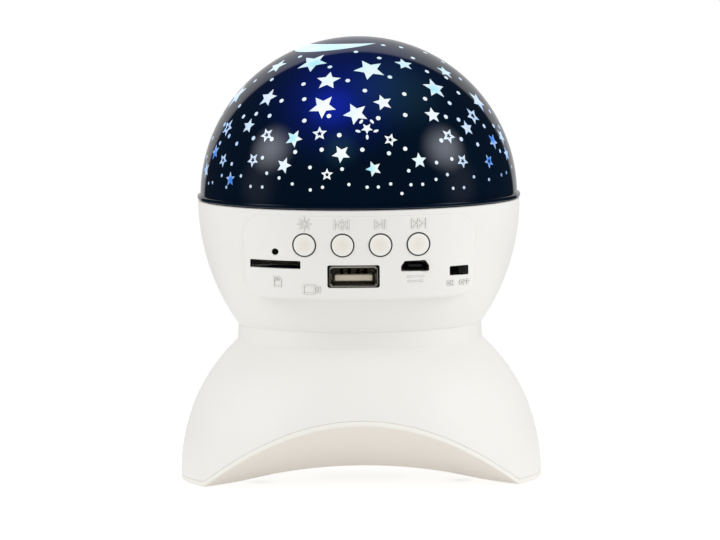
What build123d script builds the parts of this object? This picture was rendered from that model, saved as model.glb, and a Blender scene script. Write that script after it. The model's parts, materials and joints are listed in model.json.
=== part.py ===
from build123d import *
import math
import os

# Star night light projector: a dark dome turns on a white bowl, and the bowl stands on a ball-shaped
# base with an arched underside.  Millimetres, +Z up, front at -Y, origin on the floor under the middle.

# ---- base ----
foot_proud = 0.4            # rubber feet stand this far below the cover
base_radius = 53.9          # the base is part of a ball of this radius
base_ball_z = 2.2           # height of the ball's centre, the side is upright below it
base_wall = 2.2
collar_height = 4.9         # from the ball up to the seam with the bowl
collar_taper = 0.27         # the collar's foot stands this far outside its top
collar_wall = 2.8
web_thickness = 2.0         # flat top of the base inside the collar
seam_chamfer = 0.35

# ---- bottom cover: a saddle, arched left to right and rising to the front and back ----
cover_apex_z = 3.8
cover_arch_radius = 150.0
cover_rise_radius = 84.4
cover_thickness = 1.45
cover_screw_x = 30.0
cover_screw_y = 12.0
cover_seat_z = 7.0          # flat tops of the cover's screw bosses
cover_boss_radius = 4.5
base_post_radius = 3.6
screw_sink_z = 4.2          # the screw heads bear here
rubber_foot_radius = 4.5
rubber_foot_inset = 9.9     # from the base's side to the middle of a foot
rubber_foot_y = 10.0
rubber_foot_sink = 0.8
grille_hole_radius = 1.1
grille_spacing = 4.2
grille_rings = 3
grille_holes_per_ring = 6

# ---- bowl ----
bowl_height = 37.0          # from the neck's seam up to the rim
bowl_rim_radius = 48.0
bowl_side_radius = 64.3     # arc of the bowl's side, upright at the rim
bowl_wall = 2.0
bowl_floor = 2.0
neck_screw_inset = 9.3      # from the neck's side to the ring of neck screws
neck_screw_angle = 62.0
neck_boss_radius = 3.2
neck_boss_height = 5.0
wire_hole_radius = 5.0

# ---- control panel ----
panel_half_angle = 45.44    # the panel's sides, seen from the bowl's axis
panel_height = 24.7
panel_top_drop = 1.7        # band of the bowl's rim left above the panel
panel_corner_radius = 6.0
panel_edge_round = 1.2
panel_wall = 1.8
panel_fit = 0.1
board_drop = 15.1           # from the bowl's rim down to the underside of the control board
board_thickness = 1.6
board_edge_gap = 2.2        # from the panel's inner wall to the board's front edge
board_side_gap = 2.6        # from the panel's side to the board's
board_back_margin = 5.4     # board behind the screws into the bowl's posts
board_screw_setback = 7.0   # from the panel's front to its posts
board_screw_left_x = -10.8
board_screw_right_x = 8.6
board_post_radius = 2.1

# ---- push buttons ----
button_xs = {"led": -16.1, "previous": -4.9, "play": 6.2, "next": 17.3}
button_radius = 3.15
button_gap = 0.3
button_proud = 0.5
button_flange_width = 0.45  # flange reaches this far beyond the hole
button_flange_thickness = 1.2
button_flange_gap = 0.2
button_stem_radius = 1.4
button_travel = 0.5
plunger_height = 3.3        # plunger axis above the board
plunger_radius = 1.6
plunger_reach = 0.8
plunger_engaged = 1.0
plunger_setback = 8.4       # from the panel's front to the plungers
switch_width = 6.0
switch_depth = 3.4
switch_height = 6.4

# ---- sockets, slide switch and microphone ----
usb_x = -1.75
usb_width = 13.2
usb_height = 5.8
usb_length = 13.8
usb_setback = 1.0           # from the panel's front to the mouth
usb_drop = 1.35             # from the board down to the socket
usb_sheet = 0.35
usb_cut_gap = 0.75          # gap beside the socket in the panel
usb_cut_rise = 0.3          # gap above and below it
usb_tongue_width = 11.1
usb_tongue_setback = 1.6    # from the mouth to the end of the tongue
usb_tongue_thickness = 1.85
usb_tongue_lift = 1.05      # gap under the contact tongue
usb_back_wall = 2.5
micro_x = 16.25
micro_width = 8.0
micro_top_width = 5.8
micro_height = 2.9
micro_length = 5.6
micro_setback = 0.77        # from the panel's face to the mouth
micro_sheet = 0.3
micro_back_wall = 0.6
micro_tongue_setback = 0.6
micro_tongue_width = 3.8
micro_tongue_thickness = 0.7
card_edge_gap = 2.55        # from the panel's side to the socket's
card_width = 14.0
card_depth = 14.5
card_height = 2.0
card_setback = 0.65         # from the panel's inner wall to the mouth's outer corner
card_sheet = 0.3
card_cut_gap = 0.3
knob_edge_gap = 3.9         # from the panel's side to the knob's middle, switched on
knob_width = 2.4
knob_height = 1.9
knob_drop = 3.5             # from the board down to the knob's axis
knob_travel = 2.2
knob_gap = 0.35
knob_setback = 0.83         # from the panel's face to the knob's front
knob_engaged = 1.2
slider_gap = 0.1
slider_wall = 0.6
slider_setback = 0.33       # from the panel's inner wall to the switch's outer corner
slider_depth = 4.5
slider_height = 5.9
pinhole_radius = 1.0
pinhole_height = 1.1        # pinhole's axis above the board
microphone_radius = 2.0
microphone_length = 2.0
microphone_setback = 1.77   # from the panel's inner wall to the capsule

# ---- battery ----
cell_radius = 9.2
cell_end_room = 3.82        # from the cell's lowest end point to the bowl's wall
cell_gap = 0.15
holder_wall = 1.5
holder_floor = 1.5
holder_side_height = 12.0
holder_edge_gap = 0.15      # from the holder to the bowl's wall

# ---- deck, drive and turntable ----
deck_drop = 8.2             # from the bowl's rim down to the underside of the deck
deck_thickness = 2.0
deck_edge_gap = 0.3
deck_front_gap = 0.9        # from the push switches to the deck's straight front edge
deck_post_radius = 3.2
deck_post_inset = 7.0       # from the rim's side to the middle of a post
deck_post_angles = (35.0, 145.0, 200.0, 340.0)
hub_radius = 10.0
hub_bore = 7.0
hub_running_gap = 0.08
thrust_pad_height = 0.7
thrust_pad_width = 3.0
pinion_share = 0.6875       # the pinion's place between the middle and the bowl's rim
gear_teeth = 50
pinion_teeth = 16
pressure_angle = 20.0
gear_backlash = 0.16
gear_root_depth = 1.25      # in modules below the pitch circle
flank_points = 3
gear_thickness = 3.0
pinion_drop = 0.3           # pinion's top face below the turntable's disc
motor_share = 0.25          # the motor's radius as a share of the rim's
motor_height = 18.0
motor_gap = 2.15            # from the battery holder to the motor
motor_ear_thickness = 0.8
motor_ear_spacing = 31.0
motor_ear_radius = 3.3
motor_boss_radius = 4.5
motor_boss_height = 1.5
motor_boss_gap = 0.3
shaft_radius = 2.5
shaft_running_gap = 0.05
shaft_engaged = 3.0
shaft_end_gap = 0.1
turntable_edge_gap = 0.6
turntable_thickness = 1.5
turntable_boss_width = 3.0
turntable_boss_rise = 1.0
window_count = 6
window_length = 18.0
window_width = 6.0
led_board_gap = 0.3
led_board_radius = 16.0
led_board_thickness = 1.2
led_count = 4
led_radius = 2.4
led_height = 4.6
led_circle_radius = 5.6
led_screw_x = 8.5

# ---- dome ----
dome_step = 0.7             # dome set in from the bowl's rim
dome_wall = 1.6
dome_rise = 1.0             # dome's centre above the bowl's rim
dome_flange_overhang = 0.2  # flange past the bowl's rim
dome_flange_thickness = 1.2
dome_rim_gap = 0.3
dome_skirt_wall = 2.0
dome_key_count = 3
dome_key_width = 6.0
dome_key_depth = 1.2
dome_key_gap = 0.3

# ---- loudspeaker ----
speaker_radius = 20.0
speaker_seat_z = 9.5
speaker_seat_lip = 0.3      # the seat reaches this far beyond the loudspeaker
speaker_ring_width = 2.6
speaker_rim_thickness = 1.2
speaker_basket_height = 8.0
speaker_neck_radius = 13.0
speaker_sheet = 0.8
speaker_magnet_radius = 12.5
speaker_magnet_height = 8.0
cone_radius = 17.0
cone_thickness = 0.5
cone_coil_radius = 6.0
cone_depth = 5.5

# ---- screws ----
screw_radius = 1.3
screw_head_radius = 2.6
screw_head_height = 1.4
screw_grip = 8.0
small_screw_radius = 0.9
small_head_radius = 1.6
small_head_height = 1.1
small_screw_grip = 4.0
pilot_gap = 0.05
screw_hole_gap = 0.3

# ---- worked out from the sizes above ----
neck_radius = bowl_rim_radius - bowl_side_radius + math.sqrt(bowl_side_radius**2 - bowl_height**2)
collar_bottom_radius = neck_radius + collar_taper
collar_bottom_z = base_ball_z + math.sqrt(base_radius**2 - collar_bottom_radius**2)
neck_z = collar_bottom_z + collar_height
bowl_rim_z = neck_z + bowl_height
web_bottom_z = neck_z - web_thickness
bowl_floor_z = neck_z + bowl_floor
neck_screw_x = (neck_radius - neck_screw_inset) * math.cos(math.radians(neck_screw_angle))
neck_screw_y = (neck_radius - neck_screw_inset) * math.sin(math.radians(neck_screw_angle))
rubber_foot_x = base_radius - rubber_foot_inset
panel_radius = bowl_rim_radius
panel_inner_radius = panel_radius - panel_wall
panel_half_width = panel_radius * math.sin(math.radians(panel_half_angle))
panel_top_z = bowl_rim_z - panel_top_drop
panel_bottom_z = panel_top_z - panel_height
board_z = bowl_rim_z - board_drop
board_top_z = board_z + board_thickness
board_back_y = board_back_margin - neck_screw_y
board_half_width = panel_half_width - board_side_gap
board_screw_y = board_screw_setback - panel_radius
button_z = board_top_z + plunger_height
plunger_front_y = plunger_setback - panel_radius
deck_z = bowl_rim_z - deck_drop
deck_top_z = deck_z + deck_thickness
deck_front_y = plunger_front_y + plunger_reach + switch_depth + deck_front_gap
deck_post_circle = bowl_rim_radius - deck_post_inset
gear_z = deck_top_z + thrust_pad_height
disc_z = gear_z + gear_thickness
disc_top_z = disc_z + turntable_thickness
hub_top_z = disc_top_z + turntable_boss_rise + led_board_gap
led_board_top_z = hub_top_z + led_board_thickness
dome_radius = bowl_rim_radius - dome_step
dome_flange_radius = bowl_rim_radius + dome_flange_overhang
dome_z = bowl_rim_z + dome_rise
flange_z = bowl_rim_z + dome_rim_gap
flange_top_z = flange_z + dome_flange_thickness
gear_distance = bowl_rim_radius * pinion_share
gear_module = 2 * gear_distance / (gear_teeth + pinion_teeth)
motor_radius = bowl_rim_radius * motor_share
motor_y = cell_radius + cell_gap + holder_wall + motor_gap + motor_radius
cell_z = bowl_floor_z + holder_floor + cell_gap + cell_radius
usb_top_z = board_z - usb_drop
usb_front_y = usb_setback - panel_radius
card_x = card_edge_gap + card_width / 2 - panel_half_width
pinhole_x = card_x
knob_x = panel_half_width - knob_edge_gap
knob_z = board_z - knob_drop
slider_x = knob_x - knob_travel / 2
slider_half_width = (knob_width + knob_travel) / 2 + slider_gap + slider_wall
speaker_top_z = speaker_seat_z + speaker_rim_thickness + speaker_basket_height
pad_top_z = foot_proud + rubber_foot_sink
far = 4 * base_radius       # longer than anything it cuts
edge_pick = 0.1             # how near an edge lies to the place it is picked by


def face_y(x, inset=0.0):
    """Y of the panel's curved face, or of a surface set in from it, at a distance x from the middle."""
    return -math.sqrt((panel_radius - inset)**2 - x**2)


def bowl_radius_at(z, inset=0.0):
    """Radius of the bowl's side at a height, set in by a wall."""
    return bowl_rim_radius - bowl_side_radius + math.sqrt((bowl_side_radius - inset)**2 - (bowl_rim_z - z)**2)


micro_front_y = face_y(micro_x) + micro_setback
card_front_y = face_y(card_x - card_width / 2, panel_wall) + card_setback
slider_front_y = face_y(slider_x + slider_half_width, panel_wall) + slider_setback
knob_front_y = face_y(knob_x) + knob_setback
microphone_front_y = face_y(pinhole_x, panel_wall) + microphone_setback
cell_length = 2 * (bowl_radius_at(cell_z - cell_radius, bowl_wall) - cell_end_room)


# ---- helpers ----
def post(radius, bottom, top, x=0.0, y=0.0):
    """Upright cylinder from one height to another."""
    return Pos(x, y, bottom) * Cylinder(radius, top - bottom, align=(Align.CENTER, Align.CENTER, Align.MIN))


def ring(outer, inner, bottom, top, x=0.0, y=0.0):
    """Upright tube."""
    return post(outer, bottom, top, x, y) - post(inner, bottom, top, x, y)


def rod(radius, front, back, x, z):
    """Cylinder along Y from front to back."""
    upright = Cylinder(radius, back - front, align=(Align.CENTER, Align.CENTER, Align.MIN))
    return Pos(x, front, z) * Rot(-90, 0, 0) * upright


def block(x0, x1, y0, y1, z0, z1):
    """Box between two corners."""
    return Pos(x0, y0, z0) * Box(x1 - x0, y1 - y0, z1 - z0, align=(Align.MIN, Align.MIN, Align.MIN))


def polar(radius, angle):
    """Point on a circle about the middle of the part."""
    return radius * math.cos(math.radians(angle)), radius * math.sin(math.radians(angle))


def turned(edges):
    """Solid turned about Z from edges drawn in the XZ plane."""
    return revolve(make_face(edges), Axis.Z)


def profile(points):
    """Closed chain of straight edges through (radius, height) points."""
    corners = [(radius, 0, height) for radius, height in points]
    return [Line(a, b) for a, b in zip(corners, corners[1:] + corners[:1])]


def arc(center, radius, start, end):
    """Arc in the XZ plane between two (radius, height) points, given its centre."""
    first = math.atan2(start[1] - center[1], start[0] - center[0])
    last = math.atan2(end[1] - center[1], end[0] - center[0])
    half = (first + last) / 2
    middle = (center[0] + radius * math.cos(half), 0, center[1] + radius * math.sin(half))
    return ThreePointArc((start[0], 0, start[1]), middle, (end[0], 0, end[1]))


def mirrored_places(x, y):
    """The four places (+-x, +-y)."""
    return [(sx * x, sy * y) for sx in (-1, 1) for sy in (-1, 1)]


def screw_up(radius, head_radius, head_height, grip, bearing_z, x, y):
    """Screw driven upwards, with its head below the face it bears on."""
    head = post(head_radius, bearing_z - head_height, bearing_z, x, y)
    return head + post(radius, bearing_z, bearing_z + grip, x, y)


def screw_down(radius, head_radius, head_height, grip, bearing_z, x, y):
    """Screw driven downwards, with its head on top of the face it bears on."""
    head = post(head_radius, bearing_z, bearing_z + head_height, x, y)
    return head + post(radius, bearing_z - grip, bearing_z, x, y)


def bowl_solid(bottom, inset=0.0):
    """Everything inside the bowl's side from a height up to the rim."""
    center = (bowl_rim_radius - bowl_side_radius, bowl_rim_z)
    low = (bowl_radius_at(bottom, inset), bottom)
    high = (bowl_rim_radius - inset, bowl_rim_z)
    side = arc(center, bowl_side_radius - inset, low, high)
    axis_low = (0, 0, bottom)
    axis_high = (0, 0, bowl_rim_z)
    floor_line = Line(axis_low, (low[0], 0, bottom))
    top_line = Line((high[0], 0, bowl_rim_z), axis_high)
    return turned([floor_line, side, top_line, Line(axis_high, axis_low)])


# ---- base ----
def base_solid():
    """Ball-shaped base with its collar, solid, from the foot plane to the neck."""
    top = (neck_radius, 0, neck_z)
    collar = (collar_bottom_radius, collar_bottom_z)
    waist = (base_radius, base_ball_z)
    ball = arc((0, base_ball_z), base_radius, waist, collar)
    foot = (base_radius, 0, foot_proud)
    edges = [
        Line((0, 0, foot_proud), foot),
        Line(foot, (base_radius, 0, base_ball_z)),
        ball,
        Line((collar_bottom_radius, 0, collar_bottom_z), top),
        Line(top, (0, 0, neck_z)),
        Line((0, 0, neck_z), (0, 0, foot_proud)),
    ]
    return turned(edges)


def base_hollow():
    """Room inside the base, up to the web."""
    ball_radius = base_radius - base_wall
    straight = neck_radius - collar_wall
    turn_z = base_ball_z + math.sqrt(ball_radius**2 - straight**2)
    ball = arc((0, base_ball_z), ball_radius, (ball_radius, base_ball_z), (straight, turn_z))
    edges = [
        Line((0, 0, foot_proud), (ball_radius, 0, foot_proud)),
        Line((ball_radius, 0, foot_proud), (ball_radius, 0, base_ball_z)),
        ball,
        Line((straight, 0, turn_z), (straight, 0, web_bottom_z)),
        Line((straight, 0, web_bottom_z), (0, 0, web_bottom_z)),
        Line((0, 0, web_bottom_z), (0, 0, foot_proud)),
    ]
    return turned(edges)


def below_saddle(rise=0.0):
    """Everything under the saddle: the inner side of a large ring whose axis lies along X."""
    axis_z = cover_apex_z + cover_rise_radius
    place = Plane(origin=(0, 0, axis_z), x_dir=(0, 0, 1), z_dir=(1, 0, 0))
    return place.location * Torus(cover_rise_radius + cover_arch_radius, cover_arch_radius + rise)


def under_shell():
    """What lies under the base shell: the saddle's upper side, and the foot slab beside it."""
    slab_top = foot_proud + cover_thickness
    return below_saddle(cover_thickness) + block(-far, far, -far, far, -far, slab_top)


def base_shell():
    walls = base_solid() - base_hollow()
    for x, y in mirrored_places(cover_screw_x, cover_screw_y):
        walls += post(base_post_radius, cover_seat_z, web_bottom_z, x, y) & base_solid()
        walls -= post(screw_radius + pilot_gap, cover_seat_z, cover_seat_z + screw_grip, x, y)
    walls -= under_shell()
    for x, y in mirrored_places(neck_screw_x, neck_screw_y):
        walls -= post(screw_radius + screw_hole_gap, web_bottom_z, neck_z, x, y)
    walls -= post(wire_hole_radius, web_bottom_z, neck_z)
    return chamfer(neck_edges(walls), seam_chamfer)


def neck_edges(shape):
    """The circular edges that lie round the outside of the neck's seam."""
    circles = shape.edges().filter_by(GeomType.CIRCLE)
    level = circles.filter_by(lambda edge: abs(edge.center().Z - neck_z) < edge_pick)
    return level.filter_by(lambda edge: abs(edge.radius - neck_radius) < edge_pick)


def grille_places():
    """One hole in the middle and rings of six, twelve and eighteen."""
    places = [(0.0, 0.0)]
    for number in range(1, grille_rings + 1):
        count = grille_holes_per_ring * number
        places += [polar(grille_spacing * number, 360 * i / count) for i in range(count)]
    return places


def bottom_cover():
    skin = base_solid() & under_shell()
    seat_radius = speaker_radius + speaker_seat_lip
    skin += ring(seat_radius, seat_radius - speaker_ring_width, foot_proud, speaker_seat_z)
    for x, y in mirrored_places(cover_screw_x, cover_screw_y):
        skin += post(cover_boss_radius, foot_proud, cover_seat_z, x, y)
    skin -= below_saddle()
    for x, y in mirrored_places(cover_screw_x, cover_screw_y):
        skin -= post(screw_head_radius + screw_hole_gap, 0, screw_sink_z, x, y)
        skin -= post(screw_radius + screw_hole_gap, 0, cover_seat_z, x, y)
    for x, y in mirrored_places(rubber_foot_x, rubber_foot_y):
        skin -= post(rubber_foot_radius, 0, pad_top_z, x, y)
    for x, y in grille_places():
        skin -= post(grille_hole_radius, 0, speaker_seat_z, x, y)
    return skin


def rubber_feet():
    places = mirrored_places(rubber_foot_x, rubber_foot_y)
    return [post(rubber_foot_radius, 0, pad_top_z, x, y) for x, y in places]


def base_screws():
    size = (screw_radius, screw_head_radius, screw_head_height, screw_grip, screw_sink_z)
    return [screw_up(*size, x, y) for x, y in mirrored_places(cover_screw_x, cover_screw_y)]


# ---- loudspeaker, facing down ----
def speaker_basket():
    rim_top = speaker_seat_z + speaker_rim_thickness
    outer = profile([
        (speaker_radius, speaker_seat_z),
        (speaker_radius, rim_top),
        (cone_radius + speaker_sheet, rim_top),
        (speaker_neck_radius, speaker_top_z),
        (cone_coil_radius + speaker_sheet, speaker_top_z),
        (cone_coil_radius + speaker_sheet, speaker_top_z - speaker_sheet),
        (speaker_neck_radius - speaker_sheet, speaker_top_z - speaker_sheet),
        (cone_radius, rim_top),
        (cone_radius, speaker_seat_z),
    ])
    return turned(outer)


def speaker_cone():
    low = speaker_seat_z
    high = low + cone_depth
    return turned(profile([
        (cone_radius, low),
        (cone_radius, low + cone_thickness),
        (cone_coil_radius, high + cone_thickness),
        (0, high + cone_thickness),
        (0, high),
        (cone_coil_radius - cone_thickness, high),
        (cone_radius - cone_thickness, low),
    ]))


def speaker_magnet():
    return post(speaker_magnet_radius, speaker_top_z, speaker_top_z + speaker_magnet_height)


def neck_screws():
    size = (screw_radius, screw_head_radius, screw_head_height, neck_boss_height, web_bottom_z)
    return [screw_up(*size, x, y) for x, y in mirrored_places(neck_screw_x, neck_screw_y)]


# ---- bowl ----
def panel_prism(inset=0.0, grow=0.0):
    """Round-cornered upright prism that runs out to the front, as wide as the panel."""
    half = panel_half_width - inset + grow
    low = panel_bottom_z + inset - grow
    high = panel_top_z - inset + grow
    outline = RectangleRounded(2 * half, high - low, panel_corner_radius - inset)
    sheet = Plane.XZ * Pos(0, (low + high) / 2) * outline
    return extrude(sheet, far)


def deck_places():
    return [polar(deck_post_circle, angle) for angle in deck_post_angles]


def bowl_housing():
    cavity = bowl_solid(bowl_floor_z, bowl_wall)
    shell = bowl_solid(neck_z) - cavity
    shell -= panel_prism(grow=panel_fit)
    inside = bowl_solid(neck_z, panel_fit)
    for x, y in deck_places():
        foot_z = deck_z - screw_grip - deck_post_radius
        shell += post(deck_post_radius, foot_z, deck_z, x, y) & inside
        shell -= post(screw_radius + pilot_gap, deck_z - screw_grip, deck_z, x, y)
    for x, y in mirrored_places(neck_screw_x, neck_screw_y):
        top = board_z if y < 0 else bowl_floor_z + neck_boss_height
        shell += post(neck_boss_radius, bowl_floor_z, top, x, y)
        shell -= post(screw_radius + pilot_gap, neck_z, neck_z + neck_boss_height, x, y)
        if y < 0:
            shell -= post(small_screw_radius + pilot_gap, board_z - small_screw_grip, board_z, x, y)
    shell -= post(wire_hole_radius, neck_z, bowl_floor_z)
    return chamfer(neck_edges(shell), seam_chamfer)


# ---- control panel ----
def micro_outline(grow=0.0):
    """Socket outline: wide at the bottom, with sloping shoulders to a narrower top."""
    half = micro_width / 2 + grow
    half_top = micro_top_width / 2 + grow
    low = board_z - micro_height - grow
    high = board_z + grow
    shoulder = low + micro_height / 2
    points = [(micro_x - half, low), (micro_x + half, low), (micro_x + half, shoulder)]
    points += [(micro_x + half_top, high), (micro_x - half_top, high), (micro_x - half, shoulder)]
    return Plane.XZ * Polygon(*points, align=None)


def control_panel():
    body = panel_prism() & post(panel_radius, panel_bottom_z, bowl_rim_z)
    body = fillet(body.edges().filter_by(on_panel_face), panel_edge_round)
    room = panel_prism(inset=panel_wall) & post(panel_inner_radius, panel_bottom_z, bowl_rim_z)
    body -= room
    body -= bowl_solid(neck_z, bowl_wall)
    for x in (board_screw_left_x, board_screw_right_x):
        body += post(board_post_radius, panel_bottom_z + panel_wall, board_z, x, board_screw_y)
        body -= post(small_screw_radius + pilot_gap, board_z - small_screw_grip, board_z, x, board_screw_y)
    for x in button_xs.values():
        body -= rod(button_radius + button_gap, -far, 0, x, button_z) & room_front()
    body -= rod(pinhole_radius, -far, 0, pinhole_x, board_top_z + pinhole_height) & room_front()
    half = usb_width / 2 + usb_cut_gap
    body -= block(usb_x - half, usb_x + half, -far, usb_front_y + usb_length / 2,
                  usb_top_z - usb_height - usb_cut_rise, usb_top_z + usb_cut_rise)
    body -= extrude(micro_outline(panel_fit), far) & room_front()
    half = card_width / 2 + card_cut_gap
    low = board_z - card_height - card_cut_gap
    body -= block(card_x - half, card_x + half, -far, card_front_y, low, board_z)
    half = (knob_width + knob_travel) / 2 + knob_gap
    low = knob_z - knob_height / 2 - knob_gap
    high = knob_z + knob_height / 2 + knob_gap
    return body - block(slider_x - half, slider_x + half, -far, slider_front_y, low, high)


def room_front():
    """The part's front, where the panel's holes are cut."""
    return block(-far, far, -far, slider_front_y, 0, bowl_rim_z)


def on_panel_face(edge):
    """Whether an edge lies on the panel's curved front, below the rim of the bowl."""
    middle = edge @ 0.5
    reach = math.hypot(middle.X, middle.Y)
    return abs(reach - panel_radius) < edge_pick and middle.Y < 0 and middle.Z < panel_top_z - edge_pick


# ---- control board and what it carries ----
def control_board():
    """Board with a front edge that follows the panel."""
    sheet = block(-board_half_width, board_half_width, -far, board_back_y, board_z, board_top_z)
    board = sheet & post(panel_inner_radius - board_edge_gap, board_z, board_top_z)
    for x, y in board_screw_places():
        board -= post(small_screw_radius + screw_hole_gap, board_z, board_top_z, x, y)
    return board


def board_screw_places():
    front = [(board_screw_left_x, board_screw_y), (board_screw_right_x, board_screw_y)]
    return front + [(-neck_screw_x, -neck_screw_y), (neck_screw_x, -neck_screw_y)]


def board_screws():
    size = (small_screw_radius, small_head_radius, small_head_height, small_screw_grip + board_thickness)
    return [screw_down(*size, board_top_z, x, y) for x, y in board_screw_places()]


def button_switches():
    front = plunger_front_y + plunger_reach
    bodies = []
    for x in button_xs.values():
        body = block(x - switch_width / 2, x + switch_width / 2, front, front + switch_depth,
                     board_top_z, board_top_z + switch_height)
        deep = front + plunger_engaged + button_travel + button_flange_gap
        bodies.append(body - rod(plunger_radius + shaft_running_gap, front, deep, x, button_z))
    return bodies


def button_cap(x):
    """Round cap with a retaining flange behind the panel and a stem to its switch."""
    flange_front = panel_inner_radius - button_flange_gap
    flange_back = flange_front - button_flange_thickness
    flange_radius = button_radius + button_gap + button_flange_width
    low = button_z - flange_radius
    high = button_z + flange_radius
    cap = rod(button_radius, -far, 0, x, button_z) & ring(panel_radius + button_proud, flange_back, low, high)
    flange = rod(flange_radius, -far, 0, x, button_z) & ring(flange_front, flange_back, low, high)
    stem_start = -math.sqrt(flange_front**2 - x**2)
    return cap + flange + rod(button_stem_radius, stem_start, plunger_front_y, x, button_z)


def plunger(x):
    back = plunger_front_y + plunger_reach + plunger_engaged
    return rod(plunger_radius, plunger_front_y, back, x, button_z)


def usb_shell():
    half = usb_width / 2
    low = usb_top_z - usb_height
    back = usb_front_y + usb_length
    outside = block(usb_x - half, usb_x + half, usb_front_y, back, low, usb_top_z)
    inside = block(usb_x - half + usb_sheet, usb_x + half - usb_sheet, usb_front_y, back,
                   low + usb_sheet, usb_top_z - usb_sheet)
    shell = outside - inside
    tab_back = back - usb_back_wall
    for left in (usb_x - half, usb_x + half - usb_sheet):
        shell += block(left, left + usb_sheet, tab_back - usb_back_wall, tab_back, low, board_z)
    return shell


def usb_tongue():
    """Back wall of the socket with the contact tongue, which stands below the middle."""
    half = usb_width / 2 - usb_sheet
    low = usb_top_z - usb_height + usb_sheet
    high = usb_top_z - usb_sheet
    back = usb_front_y + usb_length
    wall = block(usb_x - half, usb_x + half, back - usb_back_wall, back, low, high)
    half = usb_tongue_width / 2
    under = low + usb_tongue_lift
    return wall + block(usb_x - half, usb_x + half, usb_front_y + usb_tongue_setback, back,
                        under, under + usb_tongue_thickness)


def micro_usb_shell():
    outside = extrude(micro_outline(), -micro_length)
    inside = extrude(micro_outline(-micro_sheet), -micro_length)
    return Pos(0, micro_front_y, 0) * (outside - inside)


def micro_usb_tongue():
    back = micro_front_y + micro_length
    wall = Pos(0, back - micro_back_wall, 0) * extrude(micro_outline(-micro_sheet), -micro_back_wall)
    middle = board_z - micro_height / 2
    half = micro_tongue_width / 2
    tongue = block(micro_x - half, micro_x + half, micro_front_y + micro_tongue_setback, back,
                   middle - micro_tongue_thickness / 2, middle + micro_tongue_thickness / 2)
    return wall + tongue


def card_socket():
    half = card_width / 2
    low = board_z - card_height
    back = card_front_y + card_depth
    outside = block(card_x - half, card_x + half, card_front_y, back, low, board_z)
    inside = block(card_x - half + card_sheet, card_x + half - card_sheet, card_front_y, back - card_sheet,
                   low + card_sheet, board_z - card_sheet)
    return outside - inside


def power_switch_body():
    body = block(slider_x - slider_half_width, slider_x + slider_half_width,
                 slider_front_y, slider_front_y + slider_depth, board_z - slider_height, board_z)
    slot_half = slider_half_width - slider_wall
    low = knob_z - knob_height / 2 - slider_gap
    high = knob_z + knob_height / 2 + slider_gap
    back = slider_front_y + knob_engaged + slider_gap
    return body - block(slider_x - slot_half, slider_x + slot_half, slider_front_y, back, low, high)


def power_knob():
    half = knob_width / 2
    back = slider_front_y + knob_engaged
    return block(knob_x - half, knob_x + half, knob_front_y, back,
                 knob_z - knob_height / 2, knob_z + knob_height / 2)


def microphone():
    axis_z = board_top_z + microphone_radius
    back = microphone_front_y + microphone_length
    return rod(microphone_radius, microphone_front_y, back, pinhole_x, axis_z)


# ---- battery ----
def battery_cell():
    upright = Cylinder(cell_radius, cell_length)
    return Pos(0, 0, cell_z) * Rot(0, 90, 0) * upright


def battery_holder():
    half_x = cell_length / 2 + cell_gap + holder_wall
    half_y = cell_radius + cell_gap + holder_wall
    tray = block(-half_x, half_x, -half_y, half_y, bowl_floor_z, bowl_floor_z + holder_side_height)
    trough = Pos(0, 0, cell_z) * Rot(0, 90, 0) * Cylinder(cell_radius + cell_gap, cell_length + 2 * cell_gap)
    above = block(-cell_length / 2 - cell_gap, cell_length / 2 + cell_gap, -cell_radius - cell_gap,
                  cell_radius + cell_gap, cell_z, cell_z + far)
    return (tray - trough - above) & bowl_solid(bowl_floor_z, bowl_wall + holder_edge_gap)


# ---- deck and drive ----
def deck_plate():
    deck = post(bowl_radius_at(deck_z, bowl_wall) - deck_edge_gap, deck_z, deck_top_z)
    deck -= block(-far, far, -far, deck_front_y, deck_z, deck_top_z)
    deck += post(hub_radius + thrust_pad_width, deck_z, gear_z)
    deck += post(hub_radius, deck_z, hub_top_z)
    deck -= post(hub_bore, deck_z, hub_top_z)
    deck -= post(motor_boss_radius + motor_boss_gap, deck_z, deck_top_z, 0, gear_distance)
    for x, y in deck_places():
        deck -= post(screw_radius + screw_hole_gap, deck_z, deck_top_z, x, y)
    for x in (-motor_ear_spacing / 2, motor_ear_spacing / 2):
        deck -= post(small_screw_radius + pilot_gap, deck_z, deck_top_z, x, motor_y)
    for x in (-led_screw_x, led_screw_x):
        deck -= post(small_screw_radius + pilot_gap, hub_top_z - small_screw_grip, hub_top_z, x, 0)
    return deck


def deck_screws():
    size = (screw_radius, screw_head_radius, screw_head_height, screw_grip, deck_top_z)
    return [screw_down(*size, x, y) for x, y in deck_places()]


def gear_motor():
    top = deck_z
    can_top = top - motor_ear_thickness
    can = post(motor_radius, can_top - motor_height, can_top, 0, motor_y)
    half = motor_ear_spacing / 2
    ears = block(-half, half, motor_y - motor_ear_radius, motor_y + motor_ear_radius, can_top, top)
    for x in (-half, half):
        ears += post(motor_ear_radius, can_top, top, x, motor_y)
    motor = can + ears + post(motor_radius, can_top, top, 0, motor_y)
    motor += post(motor_boss_radius, top, top + motor_boss_height, 0, gear_distance)
    for x in (-half, half):
        motor -= post(small_screw_radius + screw_hole_gap, can_top, top, x, motor_y)
    bore_low = top + motor_boss_height - shaft_engaged - shaft_end_gap
    return motor - post(shaft_radius + shaft_running_gap, bore_low, top + motor_boss_height, 0, gear_distance)


def motor_screws():
    bearing = deck_z - motor_ear_thickness
    grip = motor_ear_thickness + deck_thickness
    size = (small_screw_radius, small_head_radius, small_head_height, grip, bearing)
    return [screw_up(*size, x, motor_y) for x in (-motor_ear_spacing / 2, motor_ear_spacing / 2)]


def involute(angle):
    return math.tan(angle) - angle


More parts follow.
